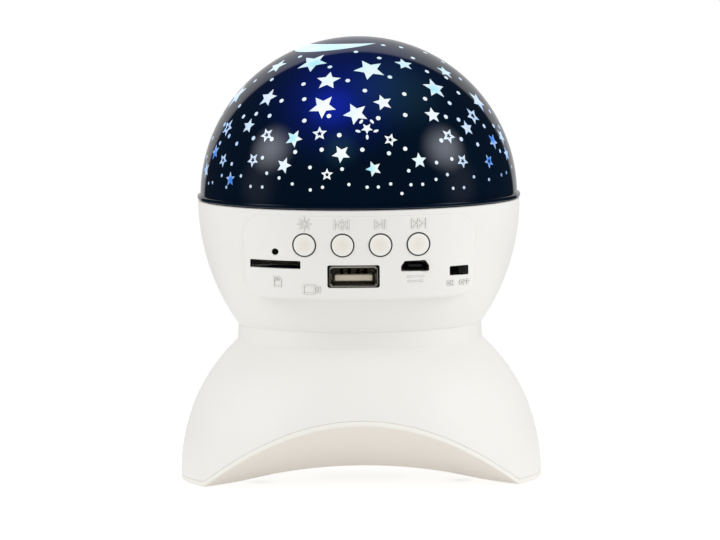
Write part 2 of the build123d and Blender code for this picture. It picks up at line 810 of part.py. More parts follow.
def gear_outline(teeth, phase):
    """Involute gear outline with one tooth centred on the phase angle, in degrees."""
    pitch_radius = gear_module * teeth / 2
    alpha = math.radians(pressure_angle)
    base = pitch_radius * math.cos(alpha)
    tip = pitch_radius + gear_module
    root = pitch_radius - gear_root_depth * gear_module
    start = max(root, base)
    half_at_pitch = math.pi / (2 * teeth) - gear_backlash / (4 * pitch_radius)
    flank = []
    for step in range(flank_points):
        reach = start + (tip - start) * step / (flank_points - 1)
        turn = half_at_pitch + involute(alpha) - involute(math.acos(min(1.0, base / reach)))
        flank.append((reach, turn))
    if root < base:
        flank.insert(0, (root, flank[0][1]))
    points = []
    for tooth in range(teeth):
        middle = math.radians(phase) + 2 * math.pi * tooth / teeth
        rising = [(reach, middle - turn) for reach, turn in flank]
        falling = [(reach, middle + turn) for reach, turn in reversed(flank)]
        points += [(reach * math.cos(t), reach * math.sin(t)) for reach, t in rising + falling]
    return Polygon(*points, align=None)


def drive_pinion():
    height = gear_thickness - pinion_drop
    wheel = extrude(gear_outline(pinion_teeth, -90), height)
    wheel = Pos(0, gear_distance, gear_z) * wheel
    return wheel - post(shaft_radius, gear_z, gear_z + height, 0, gear_distance)


def motor_shaft():
    low = deck_z + motor_boss_height - shaft_engaged
    return post(shaft_radius, low, gear_z + gear_thickness - pinion_drop, 0, gear_distance)


def turntable():
    gear_phase = 90 + 180 / gear_teeth
    gear = Pos(0, 0, gear_z) * extrude(gear_outline(gear_teeth, gear_phase), gear_thickness)
    radius = bowl_rim_radius - bowl_wall - turntable_edge_gap
    plate = post(radius, disc_z, disc_top_z) + gear
    boss_radius = hub_radius + hub_running_gap + turntable_boss_width
    plate += post(boss_radius, gear_z, disc_top_z + turntable_boss_rise)
    plate -= post(hub_radius + hub_running_gap, gear_z, disc_top_z + turntable_boss_rise)
    for angle in key_angles():
        plate -= dome_key(angle, dome_key_gap)
    for angle in window_angles():
        plate -= turntable_window(angle)
    return plate


def window_angles():
    step = 360 / window_count
    return [step * (i + 0.5) for i in range(window_count)]


def turntable_window(angle):
    """Round-ended opening between the ring gear and the rim of the turntable."""
    gear_tip = gear_module * (gear_teeth / 2 + 1)
    middle = (gear_tip + bowl_rim_radius - bowl_wall) / 2
    slot = extrude(SlotOverall(window_length, window_width, rotation=90), turntable_thickness)
    return Rot(0, 0, angle) * Pos(middle, 0, disc_z) * slot


def key_angles():
    return [90 + 360 * i / dome_key_count for i in range(dome_key_count)]


def dome_key(angle, gap=0.0):
    """Tab under the dome's skirt that stands in a notch of the turntable's rim."""
    outer = bowl_rim_radius - bowl_wall - turntable_edge_gap
    inner = outer - dome_skirt_wall - gap
    reach = outer + (far if gap else 0)
    half = dome_key_width / 2 + gap
    tab = block(inner, reach, -half, half, disc_top_z - dome_key_depth - gap, disc_top_z)
    if not gap:
        tab = tab & ring(outer, inner, disc_z, disc_top_z)
    return Rot(0, 0, angle) * tab


def star_dome():
    skirt_outer = bowl_rim_radius - bowl_wall - turntable_edge_gap
    skirt_inner = skirt_outer - dome_skirt_wall
    inner_radius = dome_radius - dome_wall
    lift = flange_top_z - dome_z
    outer_foot = (math.sqrt(dome_radius**2 - lift**2), flange_top_z)
    inner_foot = (math.sqrt(inner_radius**2 - lift**2), flange_top_z)
    center = (0, dome_z)
    corners = [
        inner_foot,
        (skirt_inner, flange_top_z),
        (skirt_inner, disc_top_z),
        (skirt_outer, disc_top_z),
        (skirt_outer, flange_z),
        (dome_flange_radius, flange_z),
        (dome_flange_radius, flange_top_z),
        outer_foot,
    ]
    points = [(radius, 0, height) for radius, height in corners]
    edges = [Line(a, b) for a, b in zip(points, points[1:])]
    edges.append(arc(center, dome_radius, outer_foot, (0, dome_z + dome_radius)))
    edges.append(Line((0, 0, dome_z + dome_radius), (0, 0, dome_z + inner_radius)))
    edges.append(arc(center, inner_radius, (0, dome_z + inner_radius), inner_foot))
    dome = turned(edges)
    for angle in key_angles():
        dome += dome_key(angle)
    return dome


def led_board():
    board = post(led_board_radius, hub_top_z, led_board_top_z)
    for x in (-led_screw_x, led_screw_x):
        board -= post(small_screw_radius + screw_hole_gap, hub_top_z, led_board_top_z, x, 0)
    return board


def led_board_screws():
    size = (small_screw_radius, small_head_radius, small_head_height, small_screw_grip, led_board_top_z)
    return [screw_down(*size, x, 0) for x in (-led_screw_x, led_screw_x)]


def led_emitters():
    """Round-topped LEDs, one for each colour."""
    lamps = []
    for number in range(led_count):
        x, y = polar(led_circle_radius, 360 * (number + 0.5) / led_count)
        shoulder = led_board_top_z + led_height - led_radius
        crown = Pos(x, y, shoulder) * Sphere(led_radius, arc_size1=0, align=None)
        lamps.append(post(led_radius, led_board_top_z, shoulder, x, y) + crown)
    return lamps


# ---- write the parts ----
def save(name, shape):
    solids = shape if isinstance(shape, list) else [shape]
    pieces = [solid for item in solids for solid in item.solids()]
    whole = pieces[0] if len(pieces) == 1 else Compound(children=pieces)
    export_step(whole, os.path.join("parts", name + ".step"))


def main():
    os.makedirs("parts", exist_ok=True)
    makers = [
        base_shell, bottom_cover, rubber_feet, base_screws, speaker_basket, speaker_cone, speaker_magnet,
        neck_screws, bowl_housing, control_panel, control_board, board_screws, button_switches, usb_shell,
        usb_tongue, micro_usb_shell, micro_usb_tongue, card_socket, power_switch_body, power_knob, microphone,
        battery_cell, battery_holder, deck_plate, deck_screws, gear_motor, motor_screws, motor_shaft,
        drive_pinion, turntable, star_dome, led_board, led_board_screws, led_emitters,
    ]
    for maker in makers:
        save(maker.__name__, maker())
    for name, x in button_xs.items():
        save(name + "_button", button_cap(x))
        save(name + "_switch_plunger", plunger(x))


main()
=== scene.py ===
import json
import math

import bmesh
import bpy
import numpy as np
from bpy.props import FloatProperty, FloatVectorProperty, PointerProperty
from mathutils import Matrix, Vector


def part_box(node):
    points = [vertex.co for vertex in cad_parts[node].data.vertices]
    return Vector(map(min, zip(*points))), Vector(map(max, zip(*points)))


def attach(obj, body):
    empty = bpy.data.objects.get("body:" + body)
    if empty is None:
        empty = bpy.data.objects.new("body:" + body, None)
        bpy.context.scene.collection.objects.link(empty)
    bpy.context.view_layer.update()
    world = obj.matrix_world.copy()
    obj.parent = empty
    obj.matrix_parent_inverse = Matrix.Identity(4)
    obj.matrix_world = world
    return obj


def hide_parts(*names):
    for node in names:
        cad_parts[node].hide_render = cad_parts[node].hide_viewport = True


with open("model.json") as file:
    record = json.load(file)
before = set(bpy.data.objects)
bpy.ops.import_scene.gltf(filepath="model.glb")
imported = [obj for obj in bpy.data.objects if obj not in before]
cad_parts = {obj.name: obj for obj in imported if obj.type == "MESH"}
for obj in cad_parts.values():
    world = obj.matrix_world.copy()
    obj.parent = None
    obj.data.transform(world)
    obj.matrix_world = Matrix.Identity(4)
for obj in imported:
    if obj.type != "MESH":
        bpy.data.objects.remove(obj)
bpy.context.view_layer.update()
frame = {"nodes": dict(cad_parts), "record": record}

bl_info = {
    "name": "Star night light",
    "version": (1, 0, 0),
    "blender": (4, 5, 0),
    "location": "3D View > Sidebar > Night light",
    "description": "Moulded shells, star dome, buttons and sockets round the packed night light",
    "category": "Add Mesh",
}

# Metres, +Z up, front at -Y, origin on the floor under the middle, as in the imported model.
MM = 0.001
BOWL_LOW, BOWL_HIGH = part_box("bowl_housing")
BASE_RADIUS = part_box("base_shell")[1].x
COVER_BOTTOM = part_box("bottom_cover")[0].z
DOME_LOW, DOME_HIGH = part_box("star_dome")
BUTTONS = ("led_button", "previous_button", "play_button", "next_button")

# Points nearer than the first are made one, no corner has a smaller radius than the second, and edges
# up to the third look smooth.
WELD_DISTANCE = 0.0005 * MM
LEAST_CORNER = 0.02 * MM
SMOOTH_ANGLE = math.radians(32.0)

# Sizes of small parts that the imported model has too.
FOOT_RADIUS = 4.5 * MM
SCREW_HEAD_RADIUS = 2.6 * MM
SCREW_HEAD_HEIGHT = 1.4 * MM
SCREW_SHANK_RADIUS = 1.3 * MM
SCREW_BOSS_RADIUS = 4.5 * MM
SCREW_BOSS_TOP = 7.0 * MM
GRILLE_SPACING = 4.2 * MM
GRILLE_HOLE_RADIUS = 1.1 * MM
TONGUE_WIDTH = 11.1 * MM
TONGUE_LIFT = 1.05 * MM
TONGUE_THICKNESS = 1.85 * MM
NARROW_SHOULDER = 1.1 * MM
PINHOLE_LIFT = 1.1 * MM
DOME_TAB_HEIGHT = 1.2 * MM


# ---- properties ----
def length(name, description, default):
    """A length in metres that a user may change."""
    return FloatProperty(name=name, description=description, default=default, min=0.0,
                         unit="LENGTH", precision=5)


def view_angle(name, description, degrees):
    """An angle, given in degrees, that a user may change."""
    return FloatProperty(name=name, description=description, default=math.radians(degrees), subtype="ANGLE")


def number(name, description, default):
    """A plain number that a user may change."""
    return FloatProperty(name=name, description=description, default=default)


def hue(name, description, hex_value):
    """A colour that a user may change, given as an sRGB hex value."""
    return FloatVectorProperty(name=name, description=description, default=linear(hex_value), size=3,
                               min=0.0, max=1.0, subtype="COLOR")


def linear(hex_value):
    """Linear RGB of an sRGB hex value: c / 12.92 below 0.04045, else ((c + 0.055) / 1.055) ** 2.4."""
    channels = np.array([int(hex_value[i:i + 2], 16) for i in (1, 3, 5)]) / 255.0
    bright = ((channels + 0.055) / 1.055)**2.4
    return tuple(float(c) for c in np.where(channels <= 0.04045, channels / 12.92, bright))


class ShellSizes(bpy.types.PropertyGroup):
    """Sizes of the bowl, the base and the cover under it."""
    rim_radius: length("Rim radius", "Radius of the bowl at its rim", BOWL_HIGH.x)
    side_radius: length("Side radius", "Arc of the bowl's side, upright at the rim", 64.3 * MM)
    bowl_wall: length("Bowl wall", "Thickness of the bowl's side and floor", 2.0 * MM)
    wire_hole: length("Wire hole", "Radius of the hole for the wires at the neck", 5.0 * MM)
    rim_round: length("Rim round", "Rounding of the bowl's rim", 0.5 * MM)
    neck_round: length("Neck round", "Rounding on both sides of the neck's seam", 0.05 * MM)
    ball_radius: length("Ball radius", "Radius of the ball that the base is part of", BASE_RADIUS)
    ball_height: length("Ball height", "Height of the ball's centre", 2.2 * MM)
    base_wall: length("Base wall", "Thickness of the base's side", 2.2 * MM)
    collar_wall: length("Collar wall", "Thickness of the collar's side", 2.8 * MM)
    collar_height: length("Collar height", "Height of the collar under the bowl", 4.9 * MM)
    collar_taper: length("Collar taper", "How far the collar's foot stands outside its top", 0.27 * MM)
    web: length("Web", "Thickness of the flat top inside the collar", 2.0 * MM)
    seam_round: length("Seam round", "Rounding along the seam over the cover", 0.3 * MM)
    apex: length("Apex", "Lowest height of the saddle, in its middle", 3.8 * MM)
    arch_radius: length("Arch radius", "Arch of the saddle from side to side", 150.0 * MM)
    rise_radius: length("Rise radius", "Rise of the saddle to the front and back", 84.4 * MM)
    cover_wall: length("Cover wall", "Thickness of the bottom cover", 1.45 * MM)
    foot_plane: length("Foot plane", "Height of the cover's flat feet", COVER_BOTTOM)
    crease_round: length("Crease round", "Softness of the crease beside the flat feet", 0.5 * MM)


class DomeSizes(bpy.types.PropertyGroup):
    """Sizes of the star dome."""
    step: length("Step", "From the flange's edge in to the dome", 0.9 * MM)
    wall: length("Wall", "Thickness of the dome", 1.6 * MM)
    flange: length("Flange", "Thickness of the flange", 1.2 * MM)
    flange_round: length("Flange round", "Rounding of the flange's edge", 0.35 * MM)
    skirt_inset: length("Skirt inset", "From the flange's edge in to the skirt", 2.8 * MM)
    skirt_wall: length("Skirt wall", "Thickness of the skirt", 2.0 * MM)
    skirt_height: length("Skirt height", "Height of the skirt under the flange", 1.3 * MM)
    key_width: length("Key width", "Width of a tab under the skirt", 6.0 * MM)
    window_lift: length("Window lift", "How far the clear windows stand proud", 0.03 * MM)
    window_depth: length("Window depth", "How deep the clear windows go", 0.4 * MM)
    dot_radius: length("Dot radius", "Radius of a small round window high up", 0.69 * MM)
    low_dot_radius: length("Low dot radius", "Radius of a small round window near the foot", 0.48 * MM)
    burst_reach: length("Burst reach", "From the burst's middle to the middle of its strokes", 2.75 * MM)
    ray_length: length("Ray length", "Half the length of a stroke of the burst", 0.78 * MM)


class PanelSizes(bpy.types.PropertyGroup):
    """Sizes of the control panel, its buttons, sockets and labels."""
    corner: length("Corner", "Rounding of the panel's corners", 6.0 * MM)
    edge_round: length("Edge round", "Rounding of the panel's front edge", 1.2 * MM)
    wall: length("Wall", "Thickness of the panel", 1.8 * MM)
    seam: length("Seam", "Gap between the panel and the bowl", 0.01 * MM)
    fit: length("Fit", "Gap round the narrow socket", 0.1 * MM)
    hole_chamfer: length("Hole chamfer", "Chamfer round the holes", 0.06 * MM)
    button_radius: length("Button radius", "Radius of a button", 3.1 * MM)
    button_gap: length("Button gap", "Gap round a button", 0.42 * MM)
    button_proud: length("Button proud", "How far a button stands proud", 0.5 * MM)
    button_round: length("Button round", "Rounding of a button's edge", 0.3 * MM)
    flange_gap: length("Flange gap", "From the panel's inside to a button's flange", 0.2 * MM)
    flange_wall: length("Flange wall", "Thickness of a button's flange", 1.2 * MM)
    stem_radius: length("Stem radius", "Radius of a button's stem", 1.4 * MM)
    usb_cut_gap: length("Wide gap", "Gap beside the wide socket", 1.05 * MM)
    usb_cut_rise: length("Low gap", "Gap above and below the wide socket", 0.42 * MM)
    usb_corner: length("Socket corner", "Corner radius of the wide socket", 1.25 * MM)
    flare_side: length("Side flare", "How far the wide socket's lips turn out sideways", 0.55 * MM)
    flare_rise: length("Upper flare", "How far its lips turn out above and below", 0.22 * MM)
    flare_depth: length("Flare depth", "Length of the turned lips", 1.1 * MM)
    lip: length("Lip", "Width of the rounded lips", 0.6 * MM)
    sheet: length("Sheet", "Thickness of the sockets' sheet metal", 0.35 * MM)
    contact_bow: length("Contact bow", "Rise of the spring contacts", 1.25 * MM)
    card_gap: length("Card gap", "Gap round the card socket", 0.4 * MM)
    knob_gap: length("Knob gap", "Gap round the slide knob", 0.45 * MM)
    knob_travel: length("Knob travel", "Travel of the slide knob", 2.2 * MM)
    pinhole_radius: length("Pinhole radius", "Radius of the microphone's hole", 1.0 * MM)
    label_width: length("Label width", "Width of a raised stroke", 0.4 * MM)
    label_height: length("Label height", "Height of a raised stroke", 0.2 * MM)


class LampColours(bpy.types.PropertyGroup):
    """Colours of the night light's finishes."""
    shell: hue("Shell", "White of the bowl, base and panel", "#f1f0ec")
    cover: hue("Cover", "Cream of the bottom cover", "#f5eee5")
    # Painted light: the paler tone laid on the cover's steep outer faces.
    rim: hue("Rim", "Paler cream of the cover's outer rim", "#f1efe8")
    button: hue("Button", "White of the buttons", "#f5f3ee")
    # Painted shade: this darker, warmer white is laid on the middle of each button.
    button_middle_shade: hue("Worn button", "White of the buttons in the middle", "#eee9df")
    dome: hue("Dome", "Navy of the dome", "#021224")
    # Painted glow: these two tones are painted on the dome as emission.
    glow: hue("Glow", "Blue light behind the dome", "#2238ff")
    haze: hue("Haze", "Dim green light behind the dome", "#7fe8cc")
    window: hue("Window", "Light of the windows that face the front", "#f7fcfc")
    window_cool: hue("Cool window", "Light of the windows higher up", "#ccf0fa")
    window_blue: hue("Blue window", "Light of the windows at the sides", "#6fb0fb")
    window_azure: hue("Azure window", "Spots of azure light at the sides", "#2f86f2")
    window_turquoise: hue("Turquoise window", "Spots of turquoise light", "#aeecf6")
    table: hue("Table", "Opal table", "#b4b4b3")


class StageSizes(bpy.types.PropertyGroup):
    """Sizes and strengths of the camera, the soft boxes, the room and the table."""
    camera_distance: length("Camera distance", "From the lens to the middle of the lamp", 1992.99 * MM)
    camera_lens: number("Lens", "Focal length in mm", 333.22)
    camera_rise: view_angle("Camera rise", "Elevation of the camera", 4.99)
    camera_roll: view_angle("Camera roll", "Turn about the view axis", -0.51)
    target_height: length("Target height", "Height that the camera's rise is measured from", 66.0 * MM)
    aim_height: length("Aim height", "Height that the camera looks at", 62.05 * MM)
    aim_side: length("Aim side", "Sideways place that the camera looks at", 0.16 * MM)
    lamp_distance: length("Lamp distance", "From the middle to each soft box", 1.1)
    lamp_width: length("Lamp width", "Width of a soft box", 0.86)
    lamp_height: length("Lamp height", "Height of a soft box", 0.66)
    lamp_power: number("Lamp power", "Power of a soft box in watts", 5.6)
    room_light: number("Room light", "Light from all round", 0.72)
    room_sides: number("Room sides", "How much brighter the sides are", 0.75)
    room_tilt: number("Room tilt", "How much brighter the right is", 0.12)
    room_rise: number("Room rise", "How much brighter it is above", 0.26)
    room_shade: number("Room shade", "Dark part of the room in mirrors", 0.02)
    room_glow: number("Room glow", "Dim glow low at the sides, in mirrors", 0.2)
    room_wall: number("Room wall", "White wall behind, in mirrors", 0.6)
    table_radius: length("Table radius", "Radius of the table", 0.2)
    table_light: number("Table light", "Light from below through the table", 0.43)
    table_white: number("Table white", "The same light as the eye sees it", 0.72)


# ---- surfaces ----
def grid_faces(rows, columns, wrap_rows=False, wrap_columns=False):
    """Quads of a grid numbered row by row. A wrapped direction closes on itself."""
    i = np.arange(rows if wrap_rows else rows - 1)
    j = np.arange(columns if wrap_columns else columns - 1)
    a, b = (g.ravel() for g in np.meshgrid(i, j, indexing="ij"))
    after_a = (a + 1) % rows
    after_b = (b + 1) % columns
    corners = (a * columns + b, after_a * columns + b, after_a * columns + after_b, a * columns + after_b)
    return np.stack(corners, axis=1)


def grid_surface(points, wrap_rows=False, wrap_columns=False):
    """A (rows, columns, 3) array of points with the quads between them."""
    rows, columns = points.shape[:2]
    return points.reshape(-1, 3), grid_faces(rows, columns, wrap_rows, wrap_columns)


def many_surfaces(points, wrap_rows=False, wrap_columns=False):
    """An (n, rows, columns, 3) array as n separate grids in one pair of points and quads."""
    count, rows, columns = points.shape[:3]
    faces = grid_faces(rows, columns, wrap_rows, wrap_columns)
    shifts = np.arange(count)[:, None, None] * rows * columns
    return points.reshape(-1, 3), (faces[None] + shifts).reshape(-1, 4)


def together(*surfaces):
    """Several pairs of points and quads as one."""
    starts = np.cumsum([0] + [len(points) for points, _ in surfaces[:-1]])
    points = np.concatenate([points for points, _ in surfaces])
    return points, np.concatenate([faces + start for (_, faces), start in zip(surfaces, starts)])


def turn_grid(radii, heights, angles):
    """Points (r cos t, r sin t, z) with one row per angle. Radii and heights may differ from row to row."""
    radii, heights = np.broadcast_arrays(radii, heights)
    shape = (len(angles), radii.shape[-1])
    radii = np.broadcast_to(radii, shape)
    heights = np.broadcast_to(heights, shape)
    return np.stack([radii * np.cos(angles)[:, None], radii * np.sin(angles)[:, None], heights], axis=2)


def around(count):
    """Evenly spaced angles of a full turn."""
    return 2 * np.pi * np.arange(count) / count


def turned(profile, count, closed=False):
    """A (radius, height) profile carried round Z; a closed profile is a ring's section."""
    profile = np.asarray(profile)
    return grid_surface(turn_grid(profile[:, 0], profile[:, 1], around(count)), True, closed)


def arc_points(center, radius, start, end, count):
    """Points (x + r cos t, z + r sin t) for t from one angle to another."""
    t = np.linspace(start, end, count)
    return np.stack([center[0] + radius * np.cos(t), center[1] + radius * np.sin(t)], axis=1)


def rounded_profile(corners, rounds, steps=5):
    """Closed polygon with each corner replaced by an arc-like curve of the given size: the quadratic
    curve (1-t)^2 a + 2 t (1-t) corner + t^2 b between points set back along both sides."""
    corners = np.asarray(corners, float)
    before = np.roll(corners, 1, axis=0) - corners
    after = np.roll(corners, -1, axis=0) - corners
    rounds = np.broadcast_to(rounds, len(corners))[:, None]
    start = corners + before / np.linalg.norm(before, axis=1)[:, None] * rounds
    end = corners + after / np.linalg.norm(after, axis=1)[:, None] * rounds
    t = np.linspace(0, 1, steps)[None, :, None]
    bent = (1 - t)**2 * start[:, None] + 2 * t * (1 - t) * corners[:, None] + t**2 * end[:, None]
    return bent.reshape(-1, 2)


def rounded_outline(half_width, half_height, corner, grow=0.0, across=34, up=12, bend=10):
    """Rounded rectangle as points (x, z), anticlockwise from the right side, with the same number of
    points whatever its size: straight runs between quarter circles."""
    c = max(corner + grow, LEAST_CORNER)
    w = half_width + grow - c
    h = half_height + grow - c
    t = np.linspace(0, np.pi / 2, bend)
    arcs = [np.stack([x + c * np.cos(t + q * np.pi / 2), z + c * np.sin(t + q * np.pi / 2)], axis=1)
            for q, (x, z) in enumerate(((w, h), (-w, h), (-w, -h), (w, -h)))]
    loop = []
    for q, counts in enumerate((across, up, across, up)):
        follow = arcs[(q + 1) % 4][0]
        s = np.linspace(0, 1, counts + 1)[1:-1, None]
        loop += [arcs[q], arcs[q][-1] * (1 - s) + follow * s]
    return np.concatenate(loop)


def face_y(x, radius):
    """Y of an upright cylinder's front, -sqrt(r^2 - x^2)."""
    return -np.sqrt(np.maximum(radius**2 - x**2, 0))


def weld_and_orient(mesh):
    """Closes poles and seams, and points every face outwards."""
    shape = bmesh.new()
    shape.from_mesh(mesh)
    bmesh.ops.remove_doubles(shape, verts=shape.verts, dist=WELD_DISTANCE)
    bmesh.ops.recalc_face_normals(shape, faces=shape.faces)
    shape.to_mesh(mesh)
    shape.free()


def solid(name, surface):
    """An object from a pair of points and quads."""
    points, faces = surface
    mesh = bpy.data.meshes.new(name)
    mesh.from_pydata(points.tolist(), [], faces.tolist())
    weld_and_orient(mesh)
    thing = bpy.data.objects.new(name, mesh)
    bpy.context.scene.collection.objects.link(thing)
    return thing


def carve(thing, surface, operation="DIFFERENCE"):
    """Takes a surface's volume out of a piece, or adds it."""
    tool = solid("carving_tool", surface)
    modifier = thing.modifiers.new("carve", "BOOLEAN")
    modifier.operation = operation
    modifier.solver = "EXACT"
    modifier.object = tool
    result = bpy.data.meshes.new_from_object(thing.evaluated_get(bpy.context.evaluated_depsgraph_get()))
    thing.modifiers.clear()
    plain = thing.data
    thing.data = result
    bpy.data.meshes.remove(plain)
    used = tool.data
    bpy.data.objects.remove(tool)
    bpy.data.meshes.remove(used)


def finish_piece(thing, body, material, replaces=()):
    """Shades a piece smooth up to an angle, gives it its material and ties it to the frame."""
    thing.data.shade_smooth()
    thing.data.set_sharp_from_angle(angle=SMOOTH_ANGLE)
    thing.data.materials.clear()
    thing.data.materials.append(material)
    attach(thing, body)
    if replaces:
        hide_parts(*replaces)


# ---- materials ----
def colour(value):
    """A colour with full alpha, from a hex value or its linear numbers."""
    rgb = linear(value) if isinstance(value, str) else tuple(value)[:3]
    return (*rgb, 1.0)


def darker(tone, share):
    """The linear numbers of a colour, each times a share."""
    return tuple(share * c for c in colour(tone)[:3])


def feed(tree, value, socket):
    """Links or sets an input. A node stands for its first output in use, and a colour may be a hex value."""
    if isinstance(value, bpy.types.Node):
        value = next(out for out in value.outputs if out.enabled)
    if isinstance(value, bpy.types.NodeSocket):
        tree.links.new(value, socket)
    elif socket.type == "RGBA":
        socket.default_value = colour(value)
    else:
        socket.default_value = value


def add(tree, kind, inputs=None, **settings):
    """Adds a node, sets its settings, and feeds its inputs, given by number or by name."""
    node = tree.nodes.new(kind)
    for key, value in settings.items():
        setattr(node, key, value)
    for key, value in (inputs or {}).items():
        in_use = [socket for socket in node.inputs if socket.enabled and socket.name == key]
        feed(tree, value, in_use[0] if in_use else node.inputs[key])
    return node


def object_place(tree):
    """The object's own coordinates in millimetres."""
    place = add(tree, "ShaderNodeTexCoord").outputs["Object"]
    return add(tree, "ShaderNodeVectorMath", {0: place, 1: (1 / MM,) * 3}, operation="MULTIPLY")


def surface_material(name):
    """An empty material, its nodes, and the object's own coordinates in millimetres."""
    made = bpy.data.materials.new(name)
    made.use_nodes = True
    tree = made.node_tree
    tree.nodes.clear()
    return made, tree, object_place(tree)


def add_shader(tree, inputs):
    """Ends a material's nodes with its shader and the output."""
    shader = add(tree, "ShaderNodeBsdfPrincipled", inputs)
    add(tree, "ShaderNodeOutputMaterial", {"Surface": shader})
    return shader


def tint_part(made, factor, tone):
    """Lays another tone over a material's own where a factor is 1, and gives back its shader."""
    tree = made.node_tree
    shader = next(node for node in tree.nodes if node.type == "BSDF_PRINCIPLED")
    base = shader.inputs["Base Color"]
    own = base.links[0].from_socket
    feed(tree, add(tree, "ShaderNodeMix", {"Factor": factor, "A": own, "B": tone}, data_type="RGBA"), base)
    return shader


def fall_off(tree, place, center, radius):
    """1 at a point, falling smoothly to 0 at a radius; both in the unit of the place."""
    away = add(tree, "ShaderNodeVectorMath", {0: place, 1: tuple(center)}, operation="DISTANCE")
    return add(tree, "ShaderNodeMapRange", {"Value": away, "From Min": radius, "From Max": 0.0},
               interpolation_type="SMOOTHERSTEP")


def moulded(name, light, dark, roughness, grain, depth, crevice=0.0, **shader):
    """Moulded plastic: a slow drift between two tones, and a fine texture from the mould, whose grain
    and depth are in millimetres. Narrow gaps up to the crevice's width are painted darker: painted shade."""
    made, tree, place = surface_material(name)
    drift = add(tree, "ShaderNodeTexNoise", {"Vector": place, "Scale": 0.035, "Detail": 3.0})
    texture = add(tree, "ShaderNodeTexNoise", {"Vector": place, "Scale": 1 / grain, "Detail": 4.0})
    cloudy = add(tree, "ShaderNodeMapRange", {"Value": drift, "To Min": -0.2, "To Max": 1.2})
    tone = add(tree, "ShaderNodeMix", {"Factor": cloudy, "A": dark, "B": light}, data_type="RGBA")
    if crevice:
        # Painted shade: where the occlusion finds walls near, the tone is pulled towards a far darker one.
        painted_gap_shade = darker(dark, 0.06)
        open_sky = add(tree, "ShaderNodeAmbientOcclusion", {"Distance": crevice * MM}, samples=8)
        shade = add(tree, "ShaderNodeMath", {0: open_sky.outputs["AO"], 1: 1.5}, operation="POWER")
        tone = add(tree, "ShaderNodeMix", {"Factor": shade, "A": painted_gap_shade, "B": tone}, data_type="RGBA")
    rough = add(tree, "ShaderNodeMapRange",
                {"Value": texture, "To Min": roughness - 0.05, "To Max": roughness + 0.05})
    bump = add(tree, "ShaderNodeBump", {"Height": texture, "Strength": 1.0, "Distance": depth * MM})
    add_shader(tree, {"Base Color": tone, "Roughness": rough, "Normal": bump, **shader})
    return made


def metal(name, tone, roughness, stretch, depth=0.002):
    """Metal with fine lines drawn along the axis whose stretch is small, in lines per millimetre, and with
    a tone that drifts in spots. The lines' depth is in millimetres."""
    made, tree, place = surface_material(name)
    lines = add(tree, "ShaderNodeVectorMath", {0: place, 1: stretch}, operation="MULTIPLY")
    drawn = add(tree, "ShaderNodeTexNoise", {"Vector": lines, "Scale": 1.0, "Detail": 5.0})
    spots = add(tree, "ShaderNodeTexNoise", {"Vector": place, "Scale": 0.4, "Detail": 2.0})
    dull = darker(tone, 0.78)
    tint = add(tree, "ShaderNodeMix", {"Factor": spots, "A": dull, "B": tone}, data_type="RGBA")
    rough = add(tree, "ShaderNodeMapRange",
                {"Value": drawn, "To Min": roughness - 0.08, "To Max": roughness + 0.1})
    bump = add(tree, "ShaderNodeBump", {"Height": drawn, "Strength": 0.6, "Distance": depth * MM})
    add_shader(tree, {"Base Color": tint, "Metallic": 1.0, "Roughness": rough, "Normal": bump})
    return made


def satin_white_abs(tone, name="satin_white_abs", crevice=0.0):
    """Injection-moulded ABS with a fine spark-eroded skin: soft broad highlights, no clear reflections."""
    return moulded(name, tone, darker(tone, 0.965), roughness=0.46, grain=0.16, depth=0.006,
                   crevice=crevice, IOR=1.54)


def matt_cream_abs(tone, rim):
    """ABS from a coarser mould: chalky and warm, with hardly any highlight. Where the surface stands
    steeper,
    on the outer rim, it is painted paler: painted light against the underside's shade."""
    made = moulded("matt_cream_abs", tone, darker(tone, 0.95), roughness=0.62, grain=0.22, depth=0.012,
                   IOR=1.54)
    tree = made.node_tree
    # Painted light: steep faces get the paler rim tone, flatter ones keep the cover's own.
    normal = add(tree, "ShaderNodeTexCoord").outputs["Normal"]
    parts = add(tree, "ShaderNodeSeparateXYZ", {0: normal}).outputs
    level = add(tree, "ShaderNodeMath", {0: parts["Z"]}, operation="ABSOLUTE")
    steep_face_painted_light = add(tree, "ShaderNodeMapRange", {"Value": level, "From Min": 0.8, "From Max": 0.55})
    tint_part(made, steep_face_painted_light, rim)
    return made


def gloss_white_abs(tone, painted_middle_shade, row):
    """ABS from a polished mould, with a clear small highlight, painted shade in its narrow gaps, and a
    darker, warmer middle that is painted shade. The middles stand in a row, in millimetres: the x of one of
    them, the step to the next, and the height."""
    # Painted shade in the narrow gaps round each button, through the crevice.
    made = moulded("gloss_white_abs", tone, darker(tone, 0.98), roughness=0.24, grain=1.2, depth=0.002,
                   crevice=0.6, IOR=1.54)
    tree = made.node_tree
    first, step, height = row
    parts = add(tree, "ShaderNodeSeparateXYZ", {0: object_place(tree)}).outputs
    aside = add(tree, "ShaderNodeMath", {0: parts["X"], 1: first + step / 2, 2: first - step / 2},
                operation="WRAP")
    offset = add(tree, "ShaderNodeCombineXYZ", {"X": aside, "Z": parts["Z"]})
    away = add(tree, "ShaderNodeVectorMath", {0: offset, 1: (first, 0.0, height)}, operation="DISTANCE")
    # Painted shade: the middle of each button is tinted darker and warmer.
    middle = add(tree, "ShaderNodeMapRange", {"Value": away, "From Min": 2.9, "From Max": 0.8})
    tint_part(made, middle, painted_middle_shade)
    return made


def natural_abs():
    """Uncoloured ABS for inner parts: slightly yellow and dull."""
    return moulded("natural_abs", "#dcd8cc", "#cfcabc", roughness=0.5, grain=0.4, depth=0.01, IOR=1.54)


def white_acetal():
    """Acetal gear plastic: milky, waxy and slightly translucent."""
    return moulded("white_acetal", "#eceae2", "#dedbd0", roughness=0.36, grain=0.5, depth=0.006, IOR=1.48,
                   **{"Subsurface Weight": 0.15, "Subsurface Scale": 1.0 * MM})


